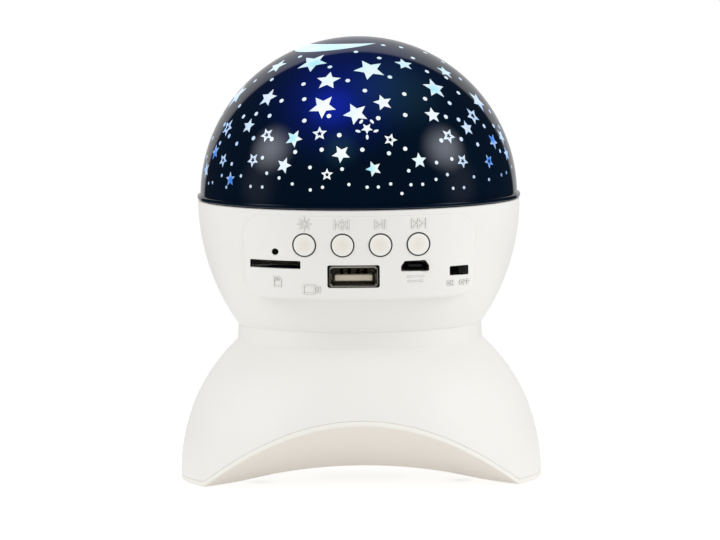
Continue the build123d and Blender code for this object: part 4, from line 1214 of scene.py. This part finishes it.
def switch_words():
    """The words ON and OFF side by side."""
    o_line = [ring_line((x, 0), 0.34, 0.5) for x in (-2.65, 0.55)]
    n_line = [(-2.0, -0.5), (-2.0, 0.5), (-1.45, -0.5), (-1.45, 0.5)]
    f_lines = []
    for x in (1.2, 2.1):
        f_lines += [[(x + 0.55, 0.5), (x, 0.5), (x, -0.5)], [(x, 0.05), (x + 0.42, 0.05)]]
    return strokes_of(*o_line, n_line, *f_lines)


def label_places():
    """Each sign with its middle (x, z) and its scale, in millimetres."""
    return (
        (lamp_sign(), (-16.1, 79.7), 1.9),
        (skip_sign(-1), (-5.0, 79.6), 1.9),
        (play_sign(), (6.2, 79.6), 1.5),
        (skip_sign(1), (17.4, 79.6), 1.9),
        (card_sign(), (-24.1, 62.6), 1.3),
        (stick_sign(), (-14.0, 60.6), 2.4),
        (direct_current_sign(), (16.5, 63.4), 2.3),
        (switch_words(), (29.2, 61.6), 1.15),
    )


def make_labels(size, shell):
    """Raised strokes on the panel: each is a half-round bead, round at both ends, whose ring at angle t is
    at w/2 cos t from the stroke's line and h sin t above the face."""
    pairs = np.concatenate([sign * scale + np.array(place) for sign, place, scale in label_places()]) * MM
    start, end = pairs[:, 0], pairs[:, 1]
    along = (end - start) / np.linalg.norm(end - start, axis=1)[:, None]
    across = np.stack([-along[:, 1], along[:, 0]], axis=1)
    turn = around(16) + np.pi / 16
    half = size.label_width / 2
    sunk = -0.15 * MM
    levels = [(0.0, sunk), (1.0, sunk)]
    levels += [(math.cos(t), size.label_height * math.sin(t)) for t in np.linspace(0, np.pi / 2, 5)]
    centers = np.where(np.cos(turn)[None, :, None] > 0, end[:, None], start[:, None])
    reach = np.cos(turn)[None, :, None] * along[:, None] + np.sin(turn)[None, :, None] * across[:, None]
    columns = []
    for share, lift in levels:
        flat = centers + half * share * reach
        y = face_y(flat[..., 0], shell.rim_radius + lift)
        columns.append(np.stack([flat[..., 0], y, flat[..., 1]], axis=-1))
    return many_surfaces(np.stack(columns, axis=2), True)


# ---- dome ----
def make_dome(size):
    """Dome: a sphere outside and inside, joined at the foot by the flange and the skirt, carried round Z,
    with three tabs under the skirt."""
    height, radius = dome_middle()
    inner = radius - size.wall
    top = DOME_LOW.z + DOME_TAB_HEIGHT + size.skirt_height + size.flange
    rim = DOME_HIGH.x
    skirt_out = rim - size.skirt_inset
    skirt_in = skirt_out - size.skirt_wall
    under = top - size.flange
    bottom = under - size.skirt_height
    lift = math.asin((top - height) / radius)
    inner_lift = math.asin((top - height) / inner)
    soft = size.flange_round
    profile = np.concatenate([
        arc_points((0, height), radius, np.pi / 2, lift, 120),
        arc_points((rim - soft, top - soft), soft, np.pi / 2, 0, 6),
        arc_points((rim - soft, under + soft), soft, 0, -np.pi / 2, 6),
        [(skirt_out, under), (skirt_out, bottom), (skirt_in, bottom), (skirt_in, top)],
        arc_points((0, height), inner, inner_lift, np.pi / 2, 60),
    ])
    shell = turned(profile, 320)
    half_turn = size.key_width / 2 / skirt_out
    reach = np.array([skirt_in, skirt_out, skirt_out, skirt_in])
    z = np.array([bottom - DOME_TAB_HEIGHT, bottom - DOME_TAB_HEIGHT, bottom, bottom])
    tabs = [capped_bar(turn_grid(reach, z, turn + np.linspace(-half_turn, half_turn, 7)))
            for turn in around(3) + np.pi / 2]
    return solid("dome_shell", together(shell, *tabs))


# Stars on the front half: azimuth from the front, elevation, radius in mm, and tilt; angles in degrees.
FULL_STARS = (
    (-33.5, 59.5, 4.8, -20), (7.5, 55.5, 4.8, 15), (33, 58, 2.9, -25), (-16.5, 49.5, 3.8, 35),
    (-64.5, 56, 3.6, 20), (62.5, 52, 2.9, 0), (42, 44.5, 3.9, -25), (-47.5, 40.5, 3.3, -35),
    (-16, 37.5, 4.2, -5), (-1, 34.5, 3.8, 10), (11.5, 39, 2.9, 25), (70, 37, 3.7, 10), (33.5, 33, 2.7, -30),
    (-51, 28.5, 2.5, 35), (-26, 24.5, 2.8, -15), (49.5, 27, 2.5, -35), (-70, 17.5, 2.4, 15),
    (-6.5, 19, 2.8, 5), (23, 16, 2.4, 35), (-28.5, 14.5, 2.5, -20), (5.5, 13.5, 2.4, 15),
    (-54, 8.5, 2.2, 30), (64.5, 21, 2.5, 0), (-76.5, 10.5, 2.6, 15), (74.5, 15.5, 2.2, 35),
    (-80.5, 40, 4.6, 10), (75.5, 22, 2.6, 10),
)
RING_STARS = (
    (-66.5, 27, 2.6, -20), (-39, 25.5, 2.1, 5), (-15.5, 26.5, 2.1, 30), (12.5, 24, 1.9, -15),
    (38, 24.5, 2.2, -5), (-61, 15, 2, -15), (-43, 16, 2, 0), (-11.5, 11.5, 1.7, 35), (42, 15, 2, 0),
    (57, 31.5, 2.6, 15), (57, 14, 2, 15),
)
BURST = (3.5, 28.5, 1.8, 0)


def both_halves(places):
    """The front half's places and the same ones turned half way round."""
    front = np.array(places, float)
    back = front.copy()
    back[:, 0] += 180.0
    return np.concatenate([front, back])


def tangents(azimuth, elevation):
    """Unit vectors at places on the dome: outwards, to the right along the level, and upwards."""
    outward = on_dome(azimuth, elevation, 1.0, 0.0)
    a = np.radians(azimuth)
    right = np.stack([np.cos(a), np.sin(a), np.zeros_like(a)], axis=-1)
    return outward, right, np.cross(right, outward)


def on_sphere(places, offsets, lift):
    """Carries flat offsets (right, up) about each place onto a sphere of the dome's radius plus a lift:
    the direction o + (u r + v w) / R is made one long and scaled. Offsets are (n, rows, columns, 2)."""
    height, radius = dome_middle()
    outward, right, up = tangents(places[:, 0], places[:, 1])
    ahead = outward[:, None, None] + (offsets[..., :1] * right[:, None, None]
                                      + offsets[..., 1:] * up[:, None, None]) / radius
    ahead = ahead / np.linalg.norm(ahead, axis=-1, keepdims=True)
    points = ahead * (radius + lift)[..., None]
    points[..., 2] += height
    return points


def dash_reach(angle, narrow=0.5):
    """Distance of an ellipse's edge at an angle, one long upwards and narrower across."""
    return 1 / np.sqrt(np.cos(angle)**2 + (np.sin(angle) / narrow)**2)


def star_reach(angle, inner_share=0.46):
    """Distance of a five-pointed star's edge at an angle, for points at distance 1: with t the angle from
    the nearest point and q = 36 degrees, r = a b sin q / (a sin t + b sin(q - t)), a = 1, b the notch."""
    q = np.pi / 5
    t = np.abs((angle + q) % (2 * q) - q)
    return inner_share * math.sin(q) / (np.sin(t) + inner_share * np.sin(q - t))


def windows(places, reach_of, size, shares=(0, 0.5, 1, 1, 0), ring=False, count=40):
    """Closed thin windows at places of azimuth, elevation, radius and tilt. Each column is a share of the
    outline: the last two lie inside the dome's wall, and the others stand proud of it. A ring is open in
    its middle, and its last column joins its first."""
    angles = around(count)
    turned_angles = angles[None, :] + np.pi / 2 + np.radians(places[:, 3])[:, None]
    radii = places[:, 2] * MM
    reach = radii[:, None, None] * reach_of(angles)[None, :, None] * np.array(shares)[None, None, :]
    offsets = np.stack([reach * np.cos(turned_angles)[..., None], reach * np.sin(turned_angles)[..., None]],
                       axis=-1)
    lifts = np.full(reach.shape, size.window_lift)
    lifts[..., -2:] = -size.window_depth
    return many_surfaces(on_sphere(places, offsets, lifts), True, ring)


def make_stars(size):
    """Full stars and ring-shaped stars."""
    full = windows(both_halves(FULL_STARS), star_reach, size)
    hollow = windows(both_halves(RING_STARS), star_reach, size, (0.46, 1.1, 1.1, 0.46), ring=True)
    return together(full, hollow)


def make_burst(size):
    """A small star with five strokes flying from it."""
    center = both_halves([BURST])
    turn = around(5) + np.pi / 2 + np.pi / 5
    flight = math.degrees(size.burst_reach / dome_middle()[1])
    azimuth, elevation = center[:, :1], center[:, 1:2]
    strokes = np.broadcast_arrays(
        azimuth + flight * np.cos(turn) / np.cos(np.radians(elevation)), elevation + flight * np.sin(turn),
        size.ray_length / MM, np.degrees(turn - np.pi / 2))
    places = np.stack(strokes, axis=2).reshape(-1, 4)
    return together(windows(center, star_reach, size), windows(places, dash_reach, size))


# Small round windows on the front half: azimuth and elevation in degrees.
DOTS = (
    (-52.5, 63), (-18.5, 57), (-1.5, 67.5), (33.5, 73), (53, 70), (46.5, 61.5), (17, 62.5), (18.5, 51),
    (-5.5, 49.5), (-30, 47.5), (-55, 49), (-72.5, 47.5), (3.5, 44.5), (23, 42.5), (46, 53), (33, 40),
    (46, 37.5), (57, 41.5), (72.5, 47.5), (-26, 40.5), (-38, 39.5), (-49.5, 33.5), (-41, 33), (-57.5, 32),
    (-66.5, 36), (-23, 31.5), (-12.5, 33.5), (8.5, 32.5), (20.5, 33.5), (40, 32), (46.5, 30.5), (62, 27),
    (-45.5, 24), (-36, 24), (-54.5, 21.5), (-7.5, 26), (34, 23), (44, 23), (52.5, 20.5), (-24.5, 19.5),
    (-14, 20.5), (1.5, 20.5), (11.5, 19), (18, 20.5), (-38.5, 17), (-54.5, 14), (30, 15), (37, 16),
    (68, 17), (-18, 14), (-6, 13.5), (18.5, 12.5), (-35.5, 11.5), (-30, 10), (-48, 10), (-60, 9.5),
    (-24.5, 8), (29, 9), (34, 10.5), (46.5, 9), (-17.5, 6), (-13, 7), (-3.5, 8), (3, 7), (7, 7), (11.5, 8),
    (19, 7.5), (23.5, 7.5), (-42.5, 6.5), (-37, 6.5), (-71, 6), (-67, 6.5), (36, 5.5), (41, 5.5), (55, 7.5),
    (57.5, 49), (-71.5, 28), (71.5, 26.5), (-62, 24), (-68, 21), (77.5, 32), (79, 25.5), (78, 10.5),
    (-86, 31), (-80.5, 22), (-80.5, 15), (-56, 5.5), (15.5, 4.5), (64.5, 8.5), (69.5, 9), (76, 64),
    (80, 57),
)


def make_dots(size):
    """Small round windows, smaller towards the foot."""
    places = both_halves(DOTS)
    radii = np.interp(places[:, 1], (8.0, 24.0), (size.low_dot_radius, size.dot_radius)) / MM
    places = np.column_stack([places, radii, np.zeros_like(radii)])
    return windows(places, np.ones_like, size, (0, 1, 1, 0), count=16)


# The crescent near the top, in degrees on a map with the zenith in its middle and the front downwards:
# the middle between its tips, half the distance between them, the way that its belly points, and how
# far its outer and inner arcs bulge.
MOON_MIDDLE = np.array([-3.8, -0.3])
MOON_HALF = 16.4
MOON_AXIS = np.array([-0.776, -0.631])
MOON_BULGES = (20.3, 12.9)


def arc_over_chord(bulge, count=49):
    """Points of an arc through both tips: for half chord c and bulge h, its radius is (c^2 + h^2) / 2h."""
    radius = (MOON_HALF**2 + bulge**2) / (2 * bulge)
    swing = math.atan2(MOON_HALF, radius - bulge)
    t = np.linspace(-swing, swing, count)[:, None]
    side = np.array([-MOON_AXIS[1], MOON_AXIS[0]])
    return MOON_MIDDLE + (bulge - radius) * MOON_AXIS + radius * (np.cos(t) * MOON_AXIS + np.sin(t) * side)


def make_moon(size):
    """Crescent between two arcs through the same two tips, in even steps across."""
    outer, inner = (arc_over_chord(bulge) for bulge in MOON_BULGES)
    high, low = size.window_lift, -size.window_depth
    shares = [(0, low), (0, high), (0.25, high), (0.5, high), (0.75, high), (1, high), (1, low)]
    height, radius = dome_middle()
    columns = []
    for share, lift in shares:
        flat = inner * (1 - share) + outer * share
        reach = np.linalg.norm(flat, axis=1)
        azimuth = np.degrees(np.arctan2(flat[:, 0], -flat[:, 1]))
        columns.append(on_dome(azimuth, 90 - reach, radius + lift, height))
    return grid_surface(np.stack(columns, axis=1), False, True)


# ---- small parts ----
def make_feet():
    """Rubber feet: discs with a rounded lower edge, in four places."""
    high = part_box("rubber_feet")[1]
    soft = 0.3 * MM
    profile = np.concatenate([[(0, 0)], arc_points((FOOT_RADIUS - soft, soft), soft, -np.pi / 2, 0, 5),
                              [(FOOT_RADIUS, high.z), (0, high.z)]])
    ring = turn_grid(profile[:, 0], profile[:, 1], around(48))
    return many_surfaces(at_places(ring, foot_places()), True)


def make_cover_screws():
    """Screws under the cover: rounded heads with a cross slot on plain shanks, in four places."""
    low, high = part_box("base_screws")
    bear = low.z + SCREW_HEAD_HEIGHT
    soft = SCREW_HEAD_HEIGHT * 0.6
    profile = np.concatenate([
        [(0, low.z)],
        arc_points((SCREW_HEAD_RADIUS - soft, low.z + soft), soft, -np.pi / 2, 0, 6),
        [(SCREW_HEAD_RADIUS, bear), (SCREW_SHANK_RADIUS, bear),
         (SCREW_SHANK_RADIUS, high.z - SCREW_SHANK_RADIUS), (0, high.z)],
    ])
    ring = turn_grid(profile[:, 0], profile[:, 1], around(40))
    screws = solid("cover_screws", many_surfaces(at_places(ring, screw_places()), True))
    half_long, half_wide, deep, slot_round = 1.7 * MM, 0.32 * MM, 0.8 * MM, 0.1 * MM
    for x, y in screw_places():
        for half_x, half_y in ((half_long, half_wide), (half_wide, half_long)):
            carve(screws, rounded_block((x - half_x, y - half_y, low.z - 1 * MM),
                                        (x + half_x, y + half_y, low.z + deep), slot_round))
    return screws


# ---- operators ----
class DomeOperator(bpy.types.Operator):
    """Makes the dark dome with its flange, skirt and tabs"""
    bl_idname = "lamp.add_dome"
    bl_label = "Dome"

    def execute(self, context):
        dome = make_dome(context.scene.lamp_dome)
        tinted = dark_dome_plastic(context.scene.lamp_colours)
        finish_piece(dome, "dome", tinted, ["star_dome"])
        return {"FINISHED"}


class StarFieldOperator(bpy.types.Operator):
    """Makes the clear windows in the dome: stars, dots, a burst and a crescent"""
    bl_idname = "lamp.add_star_field"
    bl_label = "Star field"

    def execute(self, context):
        size = context.scene.lamp_dome
        clear = lit_window_plastic(context.scene.lamp_colours)
        makers = {"star_windows": make_stars, "dot_windows": make_dots, "burst_windows": make_burst,
                  "moon_window": make_moon}
        for name, maker in makers.items():
            finish_piece(solid(name, maker(size)), "dome", clear)
        return {"FINISHED"}


class HousingOperator(bpy.types.Operator):
    """Makes the white bowl and the ball-shaped base"""
    bl_idname = "lamp.add_housing"
    bl_label = "Bowl and base"

    def execute(self, context):
        size = context.scene.lamp_shell
        white = satin_white_abs(context.scene.lamp_colours.shell)
        bowl = make_bowl(size, context.scene.lamp_panel)
        finish_piece(bowl, "housing", white, ["bowl_housing"])
        finish_piece(make_base(size), "housing", white, ["base_shell"])
        return {"FINISHED"}


class CoverOperator(bpy.types.Operator):
    """Makes the cream bottom cover with its grille, and its feet and screws"""
    bl_idname = "lamp.add_cover"
    bl_label = "Bottom cover"

    def execute(self, context):
        size = context.scene.lamp_shell
        cover = make_bottom_cover(size)
        carve_cover(cover, size)
        cream = matt_cream_abs(context.scene.lamp_colours.cover, context.scene.lamp_colours.rim)
        finish_piece(cover, "housing", cream, ["bottom_cover"])
        finish_piece(solid("foot_pads", make_feet()), "housing", grey_rubber(), ["rubber_feet"])
        finish_piece(make_cover_screws(), "housing", zinc_screw(), ["base_screws"])
        return {"FINISHED"}


class PanelOperator(bpy.types.Operator):
    """Makes the control panel with its holes and raised labels"""
    bl_idname = "lamp.add_panel"
    bl_label = "Control panel"

    def execute(self, context):
        size, shell = context.scene.lamp_panel, context.scene.lamp_shell
        tone = context.scene.lamp_colours.shell
        # Painted shade: narrow gaps round the holes, the labels and the seams are painted darker.
        white = satin_white_abs(tone, "satin_white_abs_dusty_gaps", crevice=0.3)
        panel = make_panel(size, shell)
        carve_panel(panel, size, shell)
        finish_piece(panel, "housing", white, ["control_panel"])
        finish_piece(solid("panel_labels", make_labels(size, shell)), "housing", white)
        return {"FINISHED"}


class ButtonsOperator(bpy.types.Operator):
    """Makes the four push buttons"""
    bl_idname = "lamp.add_buttons"
    bl_label = "Buttons"

    def execute(self, context):
        colours = context.scene.lamp_colours
        left, right = middle_of(BUTTONS[0])[0], middle_of(BUTTONS[-1])[0]
        step = (right[0] - left[0]) / (len(BUTTONS) - 1)
        gloss = gloss_white_abs(colours.button, colours.button_middle_shade, (left[0] / MM, step / MM, left[1] / MM))
        for name in BUTTONS:
            button = make_button(name, context.scene.lamp_panel, context.scene.lamp_shell)
            finish_piece(button, name.replace("_button", "_key"), gloss, [name])
        return {"FINISHED"}


class SocketsOperator(bpy.types.Operator):
    """Makes the wide socket with its tongue and contacts, and the slide knob"""
    bl_idname = "lamp.add_sockets"
    bl_label = "Sockets and knob"

    def execute(self, context):
        size = context.scene.lamp_panel
        shell = solid("wide_socket_shell", make_usb_shell(size))
        finish_piece(shell, "housing", nickel_sheet(), ["usb_shell"])
        tongue = solid("wide_socket_tongue", make_usb_tongue())
        finish_piece(tongue, "housing", beige_nylon(), ["usb_tongue"])
        contacts = solid("wide_socket_contacts", make_usb_contacts(size))
        finish_piece(contacts, "housing", tarnished_contacts())
        knob = solid("slide_knob_cap", make_knob())
        finish_piece(knob, "slide_knob", black_nylon(), ["power_knob"])
        return {"FINISHED"}


class InnerPartsOperator(bpy.types.Operator):
    """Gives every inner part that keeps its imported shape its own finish"""
    bl_idname = "lamp.finish_inner_parts"
    bl_label = "Inner parts"

    def execute(self, context):
        kept = bpy.data.materials
        finishes = {
            "screw_steel": kept["zinc_screw"], "painted_steel": black_stove_paint(),
            "cone_paper": pulp_cone(), "ferrite": sintered_ferrite(), "circuit_board": solder_mask(),
            "socket_steel": kept["nickel_sheet"], "socket_grey": kept["beige_nylon"],
            "black_plastic": kept["black_nylon"], "capsule_aluminium": capsule_aluminium(),
            "cell": film_wrapped_cell(), "inner_plastic": natural_abs(),
            "motor_steel": drawn_motor_steel(), "gear_plastic": white_acetal(),
            "clear_epoxy": clear_epoxy(), "plunger_brown": brown_nylon(), "rubber": kept["grey_rubber"],
            "white_shell": kept["satin_white_abs"], "cream_cover": kept["matt_cream_abs"],
            "dome_plastic": kept["dark_dome_plastic"], "button_white": kept["gloss_white_abs"],
        }
        slots = {row["node"]: row["material_slot"] for row in frame["record"]["subparts"]}
        for name, node in frame["nodes"].items():
            node.data.materials.clear()
            node.data.materials.append(finishes[slots[name]])
        return {"FINISHED"}


class StageOperator(bpy.types.Operator):
    """Makes the table, the soft light and the camera"""
    bl_idname = "lamp.set_stage"
    bl_label = "Stage"

    def execute(self, context):
        size = context.scene.lamp_stage
        make_table(size, context.scene.lamp_colours.table)
        light_room(size)
        place_camera(size)
        context.scene.view_settings.view_transform = "Standard"
        return {"FINISHED"}


# ---- stage ----
# Directions from the lamp, with lengths near 1: x to the right, y to the back, z up.
SOFT_BOXES = {"left_soft_box": (-0.84, -0.225, 0.484), "right_soft_box": (0.84, -0.243, 0.484)}
WHITE_WALL = (-0.01, 1.0, 0.28)
WALL_FADE = (0.86, 0.89)
LOW_GLOW = (0.975, -0.18, 0.125)
LOW_GLOW_REACH = 0.42


def make_table(size, tone):
    """Flat round table of opal acrylic, lit from below so that it is white to the eye. From under it the
    eye sees through, to the cover and the feet."""
    reach = np.linspace(size.table_radius, 0.0, 9)
    table = solid("opal_table", grid_surface(turn_grid(reach, np.zeros(len(reach)), around(96)), True))
    made, tree, place = surface_material("opal_acrylic")
    grain = add(tree, "ShaderNodeTexNoise", {"Vector": place, "Scale": 1.0, "Detail": 3.0})
    dull = darker(tone, 0.98)
    tint = add(tree, "ShaderNodeMix", {"Factor": grain, "A": dull, "B": tone}, data_type="RGBA")
    seen = add(tree, "ShaderNodeLightPath").outputs["Is Camera Ray"]
    glow = add(tree, "ShaderNodeMapRange",
               {"Value": seen, "To Min": size.table_light, "To Max": size.table_white})
    opal = add(tree, "ShaderNodeBsdfPrincipled",
               {"Base Color": tint, "Roughness": 0.9, "IOR": 1.3, "Emission Color": "#ffffff",
                "Emission Strength": glow})
    under = add(tree, "ShaderNodeNewGeometry").outputs["Backfacing"]
    open_below = add(tree, "ShaderNodeMath", {0: seen, 1: under}, operation="MULTIPLY")
    clear = add(tree, "ShaderNodeBsdfTransparent")
    mix = add(tree, "ShaderNodeMixShader", {0: open_below, 1: opal, 2: clear})
    add(tree, "ShaderNodeOutputMaterial", {"Surface": mix})
    table.data.materials.append(made)


def light_room(size):
    """Room that is white to the eye. It lights from all round with strength s (1 + a x^2 + b x + c z) for
    the direction's x and z. Mirrors see it dark, but for a dim glow low at each side and a white wall
    behind the lamp, which starts where the direction times that of the wall passes a limit. A soft box
    stands at each side."""
    world = bpy.data.worlds.new("white_room")
    bpy.context.scene.world = world
    world.use_nodes = True
    tree = world.node_tree
    tree.nodes.clear()
    path = add(tree, "ShaderNodeLightPath").outputs
    way = add(tree, "ShaderNodeTexCoord").outputs["Generated"]
    behind = add(tree, "ShaderNodeVectorMath", {0: way, 1: WHITE_WALL}, operation="DOT_PRODUCT")
    mirrored = add(tree, "ShaderNodeMapRange",
                   {"Value": behind, "From Min": WALL_FADE[0], "From Max": WALL_FADE[1],
                    "To Min": size.room_shade, "To Max": size.room_wall})
    for side in (-1, 1):
        near = fall_off(tree, way, (side * LOW_GLOW[0], *LOW_GLOW[1:]), LOW_GLOW_REACH)
        mirrored = add(tree, "ShaderNodeMath", {0: near, 1: size.room_glow, 2: mirrored},
                       operation="MULTIPLY_ADD")
    parts = add(tree, "ShaderNodeSeparateXYZ", {0: way}).outputs
    level = size.room_sides
    for factor, term in ((parts["X"], size.room_tilt), (parts["X"], 1.0)):
        level = add(tree, "ShaderNodeMath", {0: factor, 1: level, 2: term}, operation="MULTIPLY_ADD")
    level = add(tree, "ShaderNodeMath", {0: parts["Z"], 1: size.room_rise, 2: level},
                operation="MULTIPLY_ADD")
    soft = add(tree, "ShaderNodeMath", {0: level, 1: size.room_light}, operation="MULTIPLY")
    lit = add(tree, "ShaderNodeMix", {"Factor": path["Is Glossy Ray"], "A": soft, "B": mirrored})
    shown = add(tree, "ShaderNodeMix", {"Factor": path["Is Camera Ray"], "A": lit, "B": 1.0})
    light = add(tree, "ShaderNodeBackground", {"Color": "#ffffff", "Strength": shown})
    add(tree, "ShaderNodeOutputWorld", {"Surface": light})
    for name, away in SOFT_BOXES.items():
        add_soft_box(name, Vector(away).normalized(), size)


def add_soft_box(name, away, size):
    """Lamp whose light falls off smoothly from its middle to its edge."""
    light = bpy.data.lights.new(name, "AREA")
    light.shape = "RECTANGLE"
    light.size = size.lamp_width
    light.size_y = size.lamp_height
    light.energy = size.lamp_power
    light.use_nodes = True
    tree = light.node_tree
    tree.nodes.clear()
    place = add(tree, "ShaderNodeNewGeometry").outputs["Parametric"]
    off = add(tree, "ShaderNodeVectorMath", {0: place, 1: (0.5, 0.5, 0.0)}, operation="DISTANCE")
    soft = add(tree, "ShaderNodeMapRange", {"Value": off, "From Min": 0.5, "From Max": 0.0},
               interpolation_type="SMOOTHSTEP")
    glow = add(tree, "ShaderNodeEmission", {"Color": "#ffffff", "Strength": soft})
    add(tree, "ShaderNodeOutputLight", {"Surface": glow})
    lamp = bpy.data.objects.new(name, light)
    lamp.location = Vector((0, 0, size.target_height)) + away * size.lamp_distance
    lamp.rotation_euler = away.to_track_quat("Z", "Y").to_euler()
    bpy.context.scene.collection.objects.link(lamp)


def place_camera(size):
    """Camera that looks slightly down at the front, from far away through a long lens."""
    camera = bpy.data.objects.new("camera", bpy.data.cameras.new("camera"))
    camera.data.lens = size.camera_lens
    camera.data.sensor_width = 36.0
    camera.data.clip_end = 50.0
    place = Vector((0, -size.camera_distance * math.cos(size.camera_rise),
                    size.target_height + size.camera_distance * math.sin(size.camera_rise)))
    ahead = (Vector((size.aim_side, 0, size.aim_height)) - place).normalized()
    right = ahead.cross(Vector((0, 0, 1))).normalized()
    up = right.cross(ahead)
    turn = Matrix((right, up, -ahead)).transposed().to_4x4() @ Matrix.Rotation(size.camera_roll, 4, "Z")
    camera.matrix_world = Matrix.Translation(place) @ turn
    bpy.context.scene.collection.objects.link(camera)
    bpy.context.scene.camera = camera


# ---- the add-on ----
class LampPanel(bpy.types.Panel):
    """Lists the night light's pieces"""
    bl_idname = "VIEW3D_PT_night_light"
    bl_label = "Night light"
    bl_space_type = "VIEW_3D"
    bl_region_type = "UI"
    bl_category = "Night light"

    def draw(self, context):
        for operator in OPERATORS:
            self.layout.operator(operator.bl_idname)
        for group in GROUPS:
            settings = getattr(context.scene, group)
            self.layout.label(text=settings.bl_rna.description)
            for name in settings.__annotations__:
                self.layout.prop(settings, name)


GROUPS = {"lamp_shell": ShellSizes, "lamp_dome": DomeSizes, "lamp_panel": PanelSizes,
          "lamp_colours": LampColours, "lamp_stage": StageSizes}
OPERATORS = (StageOperator, HousingOperator, CoverOperator, PanelOperator, ButtonsOperator, SocketsOperator,
             DomeOperator, StarFieldOperator, InnerPartsOperator)


def register():
    for name, group in GROUPS.items():
        bpy.utils.register_class(group)
        setattr(bpy.types.Scene, name, PointerProperty(type=group))
    for operator in OPERATORS:
        bpy.utils.register_class(operator)
    bpy.utils.register_class(LampPanel)


def unregister():
    bpy.utils.unregister_class(LampPanel)
    for operator in reversed(OPERATORS):
        bpy.utils.unregister_class(operator)
    for name, group in GROUPS.items():
        delattr(bpy.types.Scene, name)
        bpy.utils.unregister_class(group)


def main():
    register()
    bpy.ops.lamp.set_stage()
    bpy.ops.lamp.add_housing()
    bpy.ops.lamp.add_cover()
    bpy.ops.lamp.add_panel()
    bpy.ops.lamp.add_buttons()
    bpy.ops.lamp.add_sockets()
    bpy.ops.lamp.add_dome()
    bpy.ops.lamp.add_star_field()
    bpy.ops.lamp.finish_inner_parts()


if __name__ == "__main__":
    main()
